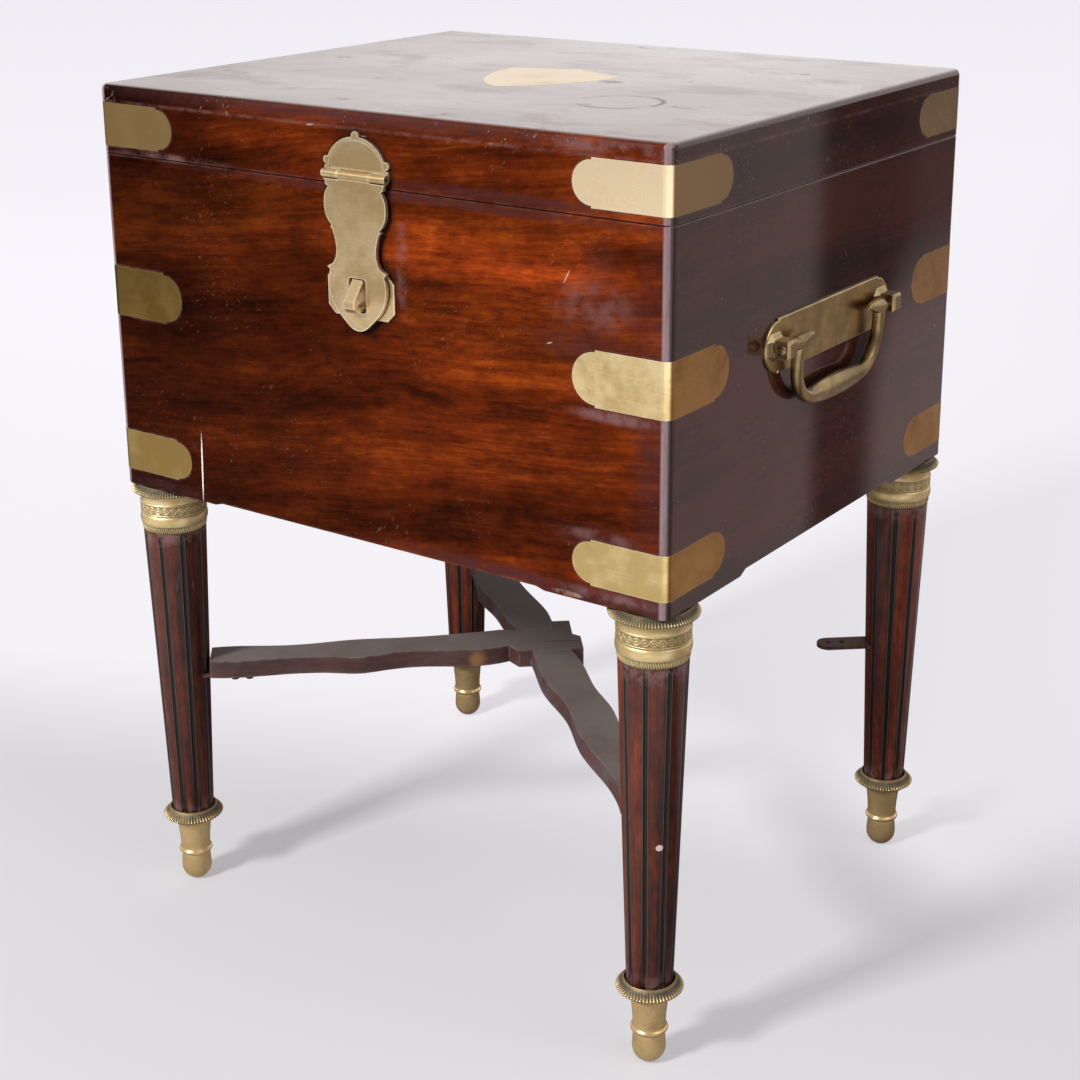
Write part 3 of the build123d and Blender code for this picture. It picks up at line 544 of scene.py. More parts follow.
# The sides' tones are dark wood, made darker still as painted shade.
side_tones_and_shade = ((0.008, 0.0019, 0.0016, 1), (0.032, 0.0056, 0.0034, 1), (0.062, 0.0115, 0.0055, 1))
back_tones = ((0.02, 0.006, 0.004, 1), (0.06, 0.016, 0.008, 1), (0.12, 0.032, 0.013, 1))
inner_tones = ((0.05, 0.014, 0.006, 1), (0.14, 0.04, 0.015, 1), (0.26, 0.08, 0.03, 1))
top_tones = ((0.026, 0.01, 0.007, 1), (0.075, 0.03, 0.02, 1), (0.15, 0.07, 0.05, 1))
side_look = plain_look(crosswise, side_tones_and_shade, haze=0.03, polish=0.9, figure=1.4)
back_look = plain_look(along, back_tones, haze=0.12, polish=0.3)
inner_look = plain_look(along, inner_tones, haze=0.1, polish=0.15)
across_look = plain_look(crosswise, inner_tones, haze=0.1, polish=0.15)
plain_top_look = plain_look(along, top_tones, haze=0.6, polish=0.93)
print("looks: sides, back, inside along and across, and the top without its marks")

# %% [markdown]
# The lid's top is dusty and scratched, with the ring of a glass, and at a low angle it shines
# nearly white. Its polish is best in the middle; the front edge is grubby from hands.

# %% The top's look
stain_brown = (0.03, 0.017, 0.015, 1)


def top_look(place):
    """Colour, roughness, height and polish of the lid's top."""
    colour, rough, height, polish = plain_top_look(place)
    ring = use_group(
        mark_group, Vector=place, Middle=(0.122, mid_y - 0.08, lid_top),
        Half_size=(0.029, 0.029, 0.02), Soft=0.3,
    )["Distance"]
    patchy = remap(noise(place, 40, detail=2), 0.35, 0.6)
    line = remap(abs(ring - 1.0), 0.12, 0.0) * patchy
    spots = remap(noise(place, (24, 34, 20), detail=5, rough=0.65), 0.62, 0.74)
    stain = larger(line, spots)
    dull = remap(noise(place, (10, 18, 20), detail=6, rough=0.65), 0.5, 0.7)
    spot = split(place)
    smears = remap(noise(place, (7, 14, 10), rough=0.6), 0.4, 0.65)
    grubby = remap(spot["Y"], front_y + 0.075, front_y + 0.012) * (smears * 0.6 + 0.4)
    grubby = larger(grubby, remap(spot["X"], -0.19, -0.235, 0.0, 0.6))
    for kept in (
        1.0 - stain * 0.6, remap(spot["X"], -0.26, 0.02, 0.74, 1.0),
        remap(spot["X"], 0.26, 0.06, 0.88, 1.0),
        remap(spot["Y"], front_y, front_y + 0.42, 0.82, 1.0), 1.0 - grubby * 0.3,
        1.0 - smears * 0.09,
    ):
        polish = kept * polish
    colour = mix(stain * 0.8, colour, stain_brown)
    return colour, larger(dull, stain) * 0.2 + rough, height, polish


# %% [markdown]
# A material wraps one look, and adds what every board has: rubbed edges, dirt and painted shade
# along the joints, a painted reflection on the rounded upright corners with painted shade just
# behind them, and scratches. The corners are found by the way each face points.

# %% Wear, painted shade and painted reflection on the wood
joint_dirt_and_shade = (0.016, 0.007, 0.006, 1)
scratch_pale = (0.4, 0.25, 0.2, 1)


def paint_corner_reflection(tree, place, colour):
    """Paint a reflection on the rounded upright corners, and shade on the side behind them."""
    facing = split(normal_of(tree))
    sideways, forward = abs(facing["X"]), abs(facing["Y"])
    # Painted shade on the side just behind each rounded corner.
    turned = remap(sideways, 0.66, 0.8) * remap(forward, 0.05, 0.2)
    colour = mix(turned * 0.7, colour, (0.03, 0.014, 0.016, 1))
    # A painted lilac reflection of the bright backdrop on each rounded corner.
    corner = remap(sideways, 0.05, 0.22) * remap(sideways, 0.8, 0.62)
    streaky = remap(noise(place, (300, 300, 40), rough=0.7), 0.25, 0.6, 0.5, 0.85)
    return mix(corner * streaky, colour, lilac_reflection)


def finish_wood(tree, surface, place, look, spec, scratched, coat_rough):
    """Add every board's wear, painted shade and painted reflection, and fill the surface."""
    colour, rough, height, polish = look
    edges = use_group(edge_group, Vector=place, Radius=0.003, Patchiness=0.8)[0]
    colour = mix(edges * 0.5, colour, grey_bloom)
    # Dirt and painted shade darken the joints and creases, where the surface is hemmed in.
    colour = mix(remap(openness(tree, 0.006), 0.97, 0.7) * 0.8, colour, joint_dirt_and_shade)
    colour = paint_corner_reflection(tree, place, colour)
    scratches = use_group(scratch_group, Vector=place, Turn=(0.4, 0.5, 0.7), Amount=scratched)
    colour = mix(scratches[0], colour, scratch_pale)
    set_sockets(
        surface, Base_Color=colour, Roughness=rough, Specular_IOR_Level=spec, Coat_Weight=polish,
        Coat_Roughness=coat_rough, Coat_IOR=1.55,
        Normal=bump(height, distance=0.00004, strength=0.5),
    )


# %% [markdown]
# The lid's panel shows three looks at once, since its edges belong to the front and the sides, so
# its material picks the look by the way each face points.

# %% Wood materials
edge_spec, top_spec = 0.04, 0.6
edge_coat_rough, top_coat_rough = 0.05, 0.16


def blend(amount, first, second):
    """Blend two looks: colours as colours, and the other values as numbers."""
    numbers = [between(amount, one, other) for one, other in zip(first[1:], second[1:])]
    return mix(amount, first[0], second[0]), *numbers


def make_wood(name, look, spec=0.4, scratched=0.3, coat_rough=top_coat_rough):
    """A board's material from one look."""
    made, tree, surface, place = start_material(name)
    finish_wood(tree, surface, place, look(place), spec, scratched, coat_rough)
    return made


def make_lid_wood():
    """The lid panel's material: top, front and side looks, picked by the face's direction."""
    made, tree, surface, place = start_material("mahogany_lid")
    facing = split(normal_of(tree))
    upright = blend(remap(abs(facing["X"]), 0.5, 0.8), front_look(place), side_look(place))
    upward = remap(facing["Z"], 0.72, 0.96)
    look = blend(upward, upright, top_look(place))
    spec = remap(upward, 0.0, 1.0, edge_spec, top_spec)
    coat_rough = remap(upward, 0.0, 1.0, edge_coat_rough, top_coat_rough)
    finish_wood(tree, surface, place, look, spec, 0.5, coat_rough)
    return made


front_wood = make_wood("mahogany_front", front_look, spec=0.02, scratched=0.12)
side_wood = make_wood("mahogany_sides", side_look, spec=0.03, coat_rough=edge_coat_rough)
back_wood = make_wood("mahogany_back", back_look)
top_wood = make_lid_wood()
inner_wood = make_wood("mahogany_inside", inner_look)
across_wood = make_wood("mahogany_inside_across", across_look)
print("wood:", len(bpy.data.materials), "materials so far")

# %% [markdown]
# Each leg has nine narrow flutes, blackened inside with old polish, dirt and painted shade.
# The frame's mesh has their true shape. To colour them, the material turns each point's place round
# the leg into an angle, and measures along the surface how far it lies from the middle of the
# nearest flute.

# %% Where the flutes lie
collar_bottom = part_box("collar_front_left")[0].z
leg_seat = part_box("foot_front_left")[1].z - 5 * mm
flute_count = 9
flute_half = 1.55 * mm
flute_turn = {"front_left": 17.0, "front_right": 19.5, "back_left": 20.0, "back_right": 23.5}


def far_from_flute(parts, turn):
    """How far a place lies from the middle of the nearest flute; parts start at the leg's axis."""
    step = 2 * pi / flute_count
    angle = calc("ARCTAN2", parts["X"], parts["Y"] * -1.0)
    turns = (angle - turn) / step
    off = abs(turns - calc("ROUND", turns))
    return off * step * vector_sum("LENGTH", join(parts["X"], parts["Y"], 0))


print("legs: from", round(leg_seat, 4), "to", round(collar_bottom, 4), "m,", flute_count, "flutes")

# %% [markdown]
# The wood between the flutes is red and polished, with a painted highlight along each flute's edge
# and painted shade beside it. It greys in the last two centimetres above the foot and below the
# collar, where polish was never rubbed well, and one front leg has a chip.

# %% Leg mahogany, one material a leg
chipped_leg = "front_right"
flute_dirt_and_shade = (0.009, 0.009, 0.007, 1)
flute_shadow = (0.02, 0.011, 0.011, 1)
flute_edge_highlight = (0.3, 0.2, 0.17, 1)
chip_pink = (0.75, 0.5, 0.5, 1)


def make_leg_wood(corner):
    """Polished mahogany with black flutes round one leg's own axis."""
    made, tree, surface, place = start_material(f"mahogany_leg_{corner}")
    axis = leg_axes[corner]
    centred = stretch(place, move=(-axis.x, -axis.y, 0))
    parts = split(centred)
    far = far_from_flute(parts, radians(flute_turn[corner]))
    flute = remap(far, flute_half + 0.1 * mm, flute_half - 0.3 * mm)
    rim = remap(abs(far - (flute_half + 0.2 * mm)), 0.4 * mm, 0.0)
    shaded = remap(far, flute_half + 3 * mm, flute_half, 0.0, 0.6)
    upright = stretch(centred, turn=(0, radians(90), 0), move=(0.3 * axis.x, axis.y, 0))
    grain = use_group(
        grain_group, Vector=upright, Dark=(0.02, 0.0045, 0.0028, 1),
        Middle=(0.095, 0.017, 0.006, 1), Light=(0.26, 0.045, 0.012, 1), Figure=1.3, Pores=0.4,
    )
    # Painted shade beside each flute, dirt and shade inside it, a painted highlight on its edge.
    colour = mix(shaded, grain["Color"], flute_shadow)
    colour = mix(flute, colour, flute_dirt_and_shade)
    colour = mix(rim * 0.35, colour, flute_edge_highlight)
    patch = remap(noise(place, 110, detail=5, rough=0.7), 0.42, 0.6)
    for sound, worn in ((leg_seat + 0.022, leg_seat + 0.006),
                        (collar_bottom - 0.016, collar_bottom - 0.002)):
        colour = mix(remap(parts["Z"], sound, worn) * patch * 0.7, colour, grey_bloom)
    scratches = use_group(scratch_group, Vector=place, Turn=(0.2, 1.4, 0.1), Amount=0.6)
    colour = mix(scratches[0] * 0.6, colour, grey_bloom)
    if corner == chipped_leg:
        spot = (axis.x + 0.0143, axis.y - 0.013, leg_seat + 0.116)
        colour = mix(mark(place, spot, (0.0024, 0.004, 0.0026), soft=0.3), colour, chip_pink)
    set_sockets(
        surface, Base_Color=colour, Roughness=remap(flute, 0.0, 1.0, 0.3, 0.6),
        Specular_IOR_Level=0.15, Coat_Weight=0.5, Coat_Roughness=0.12,
        Normal=bump(grain["Height"], distance=0.00005, strength=0.5),
    )
    return made


# %% [markdown]
# The stretcher never saw much polish. Its top is grey-brown with settled dust, and its sides still
# show some red. Dust lies only on what faces up, so the surface's normal decides.

# %% Dusty stretcher wood
arm_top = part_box("stretcher_long")[1].z
rust_stain = (0.3, 0.13, 0.035, 1)
side_dust = (0.12, 0.095, 0.105, 1)
top_dust = (0.165, 0.14, 0.125, 1)
edge_dust = (0.34, 0.28, 0.26, 1)
joint_black = (0.012, 0.008, 0.007, 1)
# middle (x, y) and half sizes of the open joint's dark lines round the crossing
joint_lines = (
    ((0.0146, mid_y + 0.0108), (0.026, 0.0008)), ((0.0262, mid_y - 0.0072), (0.0155, 0.0006)),
)
joint_turn = (0, 0, radians(-39))


def make_dusty_wood(name, turn, grey_sides):
    """Dry mahogany with dust on the faces that look up, and some on the sides."""
    made, tree, surface, place = start_material(name)
    grain = use_group(
        grain_group, Vector=stretch(place, turn=(0, 0, radians(turn))),
        Dark=(0.028, 0.012, 0.009, 1), Middle=(0.08, 0.028, 0.02, 1), Light=(0.16, 0.06, 0.04, 1),
        Figure=0.9, Pores=0.7,
    )
    cloud = noise(place, 30, detail=6, rough=0.65)
    upward = remap(split(normal_of(tree))["Z"], 0.4, 0.95)
    dust = upward * remap(cloud, 0.25, 0.7, 0.55, 0.95)
    stain = mark(place, (-0.032, mid_y - 0.044, arm_top - 0.008), (0.008, 0.012, 0.009), soft=0.7)
    colour = mix(stain * 0.8, grain["Color"], rust_stain)
    colour = mix(remap(cloud, 0.3, 0.7) * grey_sides, colour, side_dust)
    colour = mix(dust, colour, top_dust)
    edges = use_group(edge_group, Vector=place, Radius=0.0025, Patchiness=0.9)[0]
    colour = mix(edges * 0.55, colour, edge_dust)
    for middle, half in joint_lines:
        line = mark(place, (*middle, arm_top), (*half, 0.01), joint_turn)
        colour = mix(line * 0.85, colour, joint_black)
    set_sockets(
        surface, Base_Color=colour, Roughness=remap(dust, 0.0, 1.0, 0.42, 0.75),
        Specular_IOR_Level=0.4, Normal=bump(grain["Height"], distance=0.00008, strength=0.7),
    )
    return made


# %% [markdown]
# One brass recipe serves every fitting, each with its own share of tarnish: the corner straps are
# bright on the front, and browned round the sides and at the left-hand end by painted shade; the
# hasp is even and pale, the handle's plate is dark. Edges are paled as wear and as a painted
# highlight, and grime with painted shade darkens where parts meet. Verdigris collects in the
# hollows of the turned collars. Turned pieces carry an attribute that says how deep each place was
# cut, and what is cut deep is dark and matt, as grime and painted shade.

# %% A recipe for brass
edge_wear_highlight = (1.0, 0.9, 0.7, 1)
grime_and_shade_brown = (0.05, 0.035, 0.02, 1)
cut_grime_and_shade = (0.07, 0.057, 0.034, 1)
verdigris_green = (0.07, 0.085, 0.055, 1)


def make_brass(name, bright, toned, brown, tarnish, verdigris=0.0, side_shade=None,
               left_shade=None, rubbed=0.85, dulled=0.0, rim=0.0012, rougher=0.0):
    """Old brass, with painted shade on faces that look sideways and on the left-hand end.

    rubbed says how bright its edges are paled, as wear and as a painted highlight, over a rim in
    metres, and dulled and rougher how matt its surface has gone.
    """
    made, tree, surface, place = start_material(name)
    metal = use_group(
        tarnish_group, Vector=place, Bright=bright, Toned=toned, Brown=brown, Tarnish=tarnish
    )
    edges = use_group(edge_group, Vector=place, Radius=rim, Patchiness=0.4)[0]
    # Edges paled as wear and as a painted highlight.
    edges = calc("MINIMUM", edges * rubbed, 1.0)
    pale = tuple((one + other) / 2 for one, other in zip(bright, edge_wear_highlight))
    colour = mix(edges, metal["Color"], pale)
    # Painted shade on faces that look sideways and on the left-hand end.
    if side_shade:
        sideways = remap(abs(split(normal_of(tree))["X"]), 0.7, 0.95)
        colour = mix(sideways, colour, side_shade, "MULTIPLY")
    if left_shade:
        colour = mix(remap(split(place)["X"], 0.05, -0.15), colour, left_shade, "MULTIPLY")
    # Grime and painted shade where the brass is hemmed in by other parts.
    colour = mix(remap(openness(tree, 0.0025), 0.7, 0.35) * 0.7, colour, grime_and_shade_brown)
    # How deep a place was cut darkens it: grime and painted shade in the grooves.
    cut = add_node(tree, "ShaderNodeAttribute", attribute_name="cut")["Fac"]
    sunk = cut * remap(noise(place, 150, rough=0.6), 0.25, 0.6, 0.85, 1.0)
    colour = mix(sunk, colour, cut_grime_and_shade)
    scratches = use_group(scratch_group, Vector=place, Turn=(0.9, 0.3, 0.5), Amount=0.8)[0]
    rough = metal["Roughness"] + scratches * 0.15 + sunk * 0.3 + rougher
    # Cuts and the painted edge highlight lose metal, so that highlight shows under any lamp.
    metallic = 1.0 - larger(larger(sunk * 0.7, edges * 0.5), dulled)
    if verdigris:
        green = remap(openness(tree, 0.003, only_local=True), 0.75, 0.35) * verdigris
        colour = mix(green, colour, verdigris_green)
        metallic = metallic - green * 0.8
    set_sockets(
        surface, Base_Color=colour, Roughness=rough, Metallic=metallic,
        Normal=bump(metal["Height"], distance=0.00004, strength=0.5),
    )
    return made


# %% [markdown]
# Each fitting's brass is one call: its bright, toned and brown colours, then its tarnish.

# %% Brass for each fitting
straw = (0.95, 0.75, 0.41, 1)
toned = (0.64, 0.46, 0.19, 1)
brown = (0.2, 0.12, 0.055, 1)
olive = (0.3, 0.215, 0.08, 1)
strap_brass = {
    "lid_straps": make_brass(
        "brass_lid_straps", (1.0, 0.8, 0.52, 1), (0.88, 0.64, 0.35, 1), olive, tarnish=0.32,
        side_shade=(0.34, 0.28, 0.2, 1), left_shade=(0.46, 0.38, 0.23, 1), dulled=0.22,
    ),
    "middle_straps": make_brass(
        "brass_middle_straps", straw, toned, olive, tarnish=0.44,
        side_shade=(0.48, 0.34, 0.22, 1), left_shade=(0.36, 0.29, 0.16, 1),
    ),
    "base_straps": make_brass(
        "brass_base_straps", (0.8, 0.62, 0.31, 1), toned, olive, tarnish=0.54,
        side_shade=(0.62, 0.46, 0.3, 1), left_shade=(0.6, 0.54, 0.42, 1),
    ),
}
# The hasp's edges are paled strongly, mostly as a painted highlight on its bevels.
hasp_brass = make_brass(
    "brass_hasp", (0.76, 0.57, 0.33, 1), (0.5, 0.35, 0.165, 1), brown, tarnish=0.48,
    rubbed=2.2, dulled=0.15, rim=0.002,
)
plate_brass = make_brass(
    "brass_handle_plate", (0.48, 0.34, 0.145, 1), (0.29, 0.2, 0.08, 1), brown, tarnish=0.5
)
# Dark tarnished brass, darkened further as a painted shade for the grip's dark face.
bail_brass = make_brass(
    "brass_handle", (0.36, 0.26, 0.125, 1), (0.2, 0.14, 0.064, 1), brown, tarnish=0.46,
    verdigris=0.4,
)
collar_brass = make_brass(
    "brass_collars", (0.86, 0.68, 0.36, 1), (0.6, 0.44, 0.2, 1), brown, tarnish=0.46,
    verdigris=0.95, rubbed=0.1, dulled=0.25, rougher=0.12,
)
foot_brass = make_brass(
    "brass_feet", (0.88, 0.62, 0.3, 1), (0.6, 0.4, 0.175, 1), brown, tarnish=0.42,
    verdigris=0.9, rubbed=0.1, dulled=0.28,
)
shield_brass = make_brass(
    "brass_shield", (0.72, 0.57, 0.35, 1), (0.58, 0.43, 0.23, 1), brown, tarnish=0.36
)
print("brass:", [name for name in bpy.data.materials.keys() if name.startswith("brass")])

# %% [markdown]
# The remaining finishes are small: rusted iron for the tabs under the stretcher, grey steel for
# pins and screws, bare planed deal under the case, short velvet inside, and a foxed mirror.

# %% Iron, steel, deal, velvet and mirror


def make_plain(name, dark, light, scale, rough, metallic=0.0, depth=0.0001, **sockets):
    """A finish of two tones in cloudy patches."""
    made, tree, surface, place = start_material(name)
    cloud = noise(place, scale, detail=6, rough=0.65)
    set_sockets(
        surface, Base_Color=mix(remap(cloud, 0.35, 0.68), dark, light), Metallic=metallic,
        Roughness=remap(cloud, 0.3, 0.7, rough, rough + 0.15),
        Normal=bump(cloud, depth, strength=0.6),
        **sockets,
    )
    return made


iron = make_plain(
    "rusted_iron", (0.02, 0.009, 0.006, 1), (0.13, 0.045, 0.022, 1), scale=260, rough=0.7
)
steel = make_plain(
    "grey_steel", (0.12, 0.11, 0.1, 1), (0.32, 0.3, 0.27, 1), scale=300, rough=0.35,
    metallic=1.0,
)
deal = make_plain(
    "planed_deal", (0.16, 0.1, 0.055, 1), (0.32, 0.22, 0.13, 1), scale=(9, 160, 160), rough=0.65
)
velvet = make_plain(
    "wine_velvet", (0.05, 0.004, 0.009, 1), (0.11, 0.01, 0.02, 1), scale=900, rough=0.8,
    depth=0.0004, Sheen_Weight=0.7, Sheen_Roughness=0.4,
)
mirror = make_plain(
    "foxed_mirror", (0.55, 0.53, 0.48, 1), (0.86, 0.87, 0.87, 1), scale=25, rough=0.02,
    metallic=1.0, depth=0.0,
)

# %% [markdown]
# Now the frame's own nodes take their finishes. Only the material slot changes; the shapes stay as
# they were packed.

# %% Dress the frame


def dress(material, *names):
    """Give nodes of the frame one material."""
    for name in names:
        mesh = nodes[name].data
        mesh.materials.clear()
        mesh.materials.append(material)
    print(material.name, "on", ", ".join(names))


dress(front_wood, "front_board", "lid_front_rim")
dress(side_wood, "left_board", "right_board", "lid_left_rim", "lid_right_rim")
dress(back_wood, "back_board", "lid_back_rim")
dress(top_wood, "lid_panel")
dress(inner_wood, "partition_long", "mirror_frame")
dress(across_wood, "partitions_front", "partitions_back")
dress(deal, "bottom_board", "corner_blocks")
dress(make_dusty_wood("stretcher_long_wood", 40, 0.85), "stretcher_long")
dress(make_dusty_wood("stretcher_broken_wood", -40, 0.15), "stretcher_broken")
dress(iron, "iron_tabs", "stretcher_screws")
for name, material in strap_brass.items():
    dress(material, name)
dress(shield_brass, "cartouche")
dress(hasp_brass, "hasp_plate", "hasp_flap", "staple_plate", "staple")
dress(steel, "hasp_pin", "hinge_pins", "hinge_case_screws", "hinge_lid_screws")
dress(velvet, "base_lining", "lid_lining")
dress(mirror, "mirror_glass")
for hand in ("left", "right"):
    dress(plate_brass, f"handle_plate_{hand}", f"hinge_case_leaf_{hand}", f"hinge_lid_leaf_{hand}")
    dress(bail_brass, f"handle_posts_{hand}", f"handle_bail_{hand}")
for corner in corner_names:
    dress(make_leg_wood(corner), f"leg_{corner}")

# %% [markdown]
# The new pieces share a few steps. An operator acts on everything that is selected, so each piece
# is picked alone first. A finished piece is smoothed, takes its material, stands for a node of the
# frame and rides on a body.

# %% Helpers for new pieces


def pick(*pieces):
    """Select these pieces and nothing else; the first is the active one."""
    bpy.ops.object.select_all(action="DESELECT")
    for piece in pieces:
        piece.select_set(True)
    if pieces:
        bpy.context.view_layer.objects.active = pieces[0]


def turn_faces_out():
    """In edit mode, point all of a closed piece's faces outwards."""
    bpy.ops.mesh.select_all(action="SELECT")
    bpy.ops.mesh.normals_make_consistent(inside=False)


def finish_piece(piece, material, node, body):
    """Smooth a piece, give it its finish, and let it stand for a node and ride on a body."""
    faces = piece.data.polygons
    faces.foreach_set("use_smooth", [True] * len(faces))
    piece.data.materials.append(material)
    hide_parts(node)
    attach(piece, body)
    print(piece.name, len(faces), "faces, for", node)


# %% [markdown]
# Collars and feet were turned on a lathe and then chased. We do the same: a ring of vertices is
# extruded step by step up the outline, each step scaled to its radius.

# %% Turn a brass piece


def turn_piece(name, outline, sides):
    """Draw a ring of vertices along an outline of (radius, height) in millimetres."""
    radius, height = outline[0]
    pick()
    bpy.ops.mesh.primitive_circle_add(
        vertices=sides, radius=radius * mm, location=(0, 0, height * mm)
    )
    piece = bpy.context.object
    piece.name = name
    bpy.ops.object.transform_apply()
    bpy.ops.object.mode_set(mode="EDIT")
    bpy.ops.mesh.select_all(action="SELECT")
    for next_radius, next_height in outline[1:]:
        bpy.ops.mesh.extrude_region_move(
            TRANSFORM_OT_translate={"value": (0, 0, (next_height - height) * mm)}
        )
        wider = next_radius / radius
        bpy.ops.transform.resize(value=(wider, wider, 1), center_override=(0, 0, 0))
        radius, height = next_radius, next_height
    bpy.ops.mesh.select_all(action="SELECT")
    bpy.ops.mesh.remove_doubles(threshold=0.00001)
    turn_faces_out()
    bpy.ops.object.mode_set(mode="OBJECT")
    return piece


# %% [markdown]
# A chaser's punches and files cut patterns into what the lathe left. Here the ring's vertices move
# in and out along their radius, and each one records how deep it was cut, for the brass recipe to
# darken with grime and painted shade. The teeth of the flanges are cut down into their sloping
# tops.

# %% Chase a turned piece
tooth_depth, tooth_run_out = 0.8, 2.5
tooth_lean = 0.4  # how far a groove's bottom draws in for each millimetre of depth
# Darkness of the cuts, as grime and painted shade: grooves, ridges by the edge, behind the teeth.
cut_most, ridge_polish, cut_behind_teeth = 0.98, 0.93, 0.75


def round_the_axis(vertex):
    """A vertex's radius and height in millimetres, and its angle."""
    x, y, z = vertex.co
    return hypot(x, y) / mm, z / mm, atan2(y, x)


def cuts_of(piece):
    """The piece's own record of how deep each vertex was cut, from 0 to 1."""
    if "cut" not in piece.data.attributes:
        piece.data.attributes.new("cut", "FLOAT", "POINT")
    return piece.data.attributes["cut"].data


def chase(piece, low, high, push, shade=1.0, least=0.0):
    """Move the vertices between two heights along their radius; push gives millimetres."""
    cuts = cuts_of(piece)
    for vertex in piece.data.vertices:
        radius, height, angle = round_the_axis(vertex)
        if low <= height <= high:
            moved = push(angle, height)
            vertex.co.x *= 1 + moved / radius
            vertex.co.y *= 1 + moved / radius
            cuts[vertex.index].value = min(1.0, max(least, -moved * shade))


def cut_teeth(piece, count, inner, outer, above):
    """Cut radiating grooves in a sloping flange; they are deepest at its edge. Millimetres."""
    cuts = cuts_of(piece)
    for vertex in piece.data.vertices:
        radius, height, angle = round_the_axis(vertex)
        if radius > inner and height > above:
            ridge = (0.5 + 0.5 * cos(count * angle)) ** 2
            depth = tooth_depth * min(1.0, (radius - inner) / tooth_run_out) * (1 - ridge)
            vertex.co.x *= 1 - tooth_lean * depth / radius
            vertex.co.y *= 1 - tooth_lean * depth / radius
            vertex.co.z -= depth * mm
            at_edge = min(1.0, max(0.0, (radius - outer + 2.8) / 2.0))
            cuts[vertex.index].value = cut_most - ridge_polish * ridge * at_edge
        elif height > above + 3 and radius > inner - 1.6:
            cuts[vertex.index].value = cut_behind_teeth


def stand_copies(source, material, kind, lift=0.0):
    """Put a copy of a turned piece at every leg, in place of the frame's own."""
    for number, corner in enumerate(corner_names):
        mesh = source.data.copy()
        turn = Matrix.Rotation(radians(17 + 71 * number), 4, "Z")
        mesh.transform(Matrix.Translation((leg_axes[corner].x, leg_axes[corner].y, lift)) @ turn)
        copy = bpy.data.objects.new(f"turned_{kind}_{corner}", mesh)
        bpy.context.scene.collection.objects.link(copy)
        finish_piece(copy, material, f"{kind}_{corner}", "case")
    bpy.data.objects.remove(source)


# %% [markdown]
# The collar, from below: a roped ring, a plain convex band, a sunk band chased with a chain of
# leaves, a plain neck, and a thin flange that slopes down from the case, cut with radiating teeth.

# %% Brass collars
collar_outline = [
    (22.2, 0), (23.0, 0), (23.4, 0.4), (23.9, 1.2), (24.2, 2.2), (24.3, 3.0), (24.2, 3.9),
    (23.8, 4.8), (23.6, 5.4), (24.1, 5.6), (24.6, 5.8), (24.9, 6.4), (25.2, 7.6), (25.35, 9.2),
    (25.3, 10.8), (25.1, 12.2), (24.8, 13.3), (24.3, 13.7), (24.25, 14.1), (24.6, 14.3),
    (24.8, 14.6), (24.85, 15.0), (24.75, 15.3), *[(24.7, 15.5 + 0.3 * step) for step in range(22)],
    (24.75, 22.0), (24.9, 22.3), (24.95, 22.7), (24.7, 23.0), (24.4, 23.3), (24.3, 23.9),
    (24.35, 24.8), (24.45, 25.6), (24.6, 26.4), (24.9, 27.2), (25.4, 28.1), (26.0, 29.0),
    (26.9, 29.9), (27.9, 30.7), (29.0, 31.3), (29.8, 31.7), (30.3, 32.0), (30.45, 32.4),
    (30.3, 32.8), (29.8, 33.2), (29.0, 33.8), (28.2, 34.4), (27.4, 35.0), (26.8, 35.6),
    (26.2, 36.5), (25.9, 36.8), (22.2, 36.8), (22.2, 0),
]
plait_count, plait_low, plait_high = 13, 15.4, 21.9


def plait(angle, height):
    """A chain of lens-shaped leaves between two ribbons that cross."""
    up = height - (plait_low + plait_high) / 2
    wave = 2.2 * sin(plait_count * angle)
    first = exp(-(((up - wave) / 0.6) ** 2))
    second = exp(-(((up + wave) / 0.6) ** 2))
    leaf = exp(-((up / 0.75) ** 2)) * max(0.0, sin(plait_count * angle) ** 2 - 0.25)
    return 0.5 * max(first, 0.9 * second, 1.3 * leaf) - 0.35


def rope(angle, height):
    """The lowest ring's slanting beads."""
    return -0.75 * (0.5 - 0.5 * cos(90 * angle + 0.9 * height)) ** 1.2


def milled(angle, height):
    """Fine upright ribs on the two rings that hold the chain."""
    return 0.12 * sin(150 * angle)


def make_collars():
    """Turn one collar, chase it and stand a copy on each leg."""
    collar = turn_piece("collar", collar_outline, 720)
    cut_teeth(collar, count=90, inner=26.2, outer=30.45, above=30.9)
    chase(collar, 0.3, 4.9, rope, least=0.15)
    chase(collar, 14.0, 15.3, milled, least=0.45)
    chase(collar, 22.0, 23.2, milled, least=0.45)
    chase(collar, plait_low, plait_high, plait, shade=1.8, least=0.3)
    stand_copies(collar, collar_brass, "collar", collar_bottom)


make_collars()

# %% [markdown]
# The foot is an acorn with a flat end, a thin bead and a plain cup under a saucer. The saucer
# slopes down from a smooth lip round the leg, and its top is cut with sixty radiating grooves.

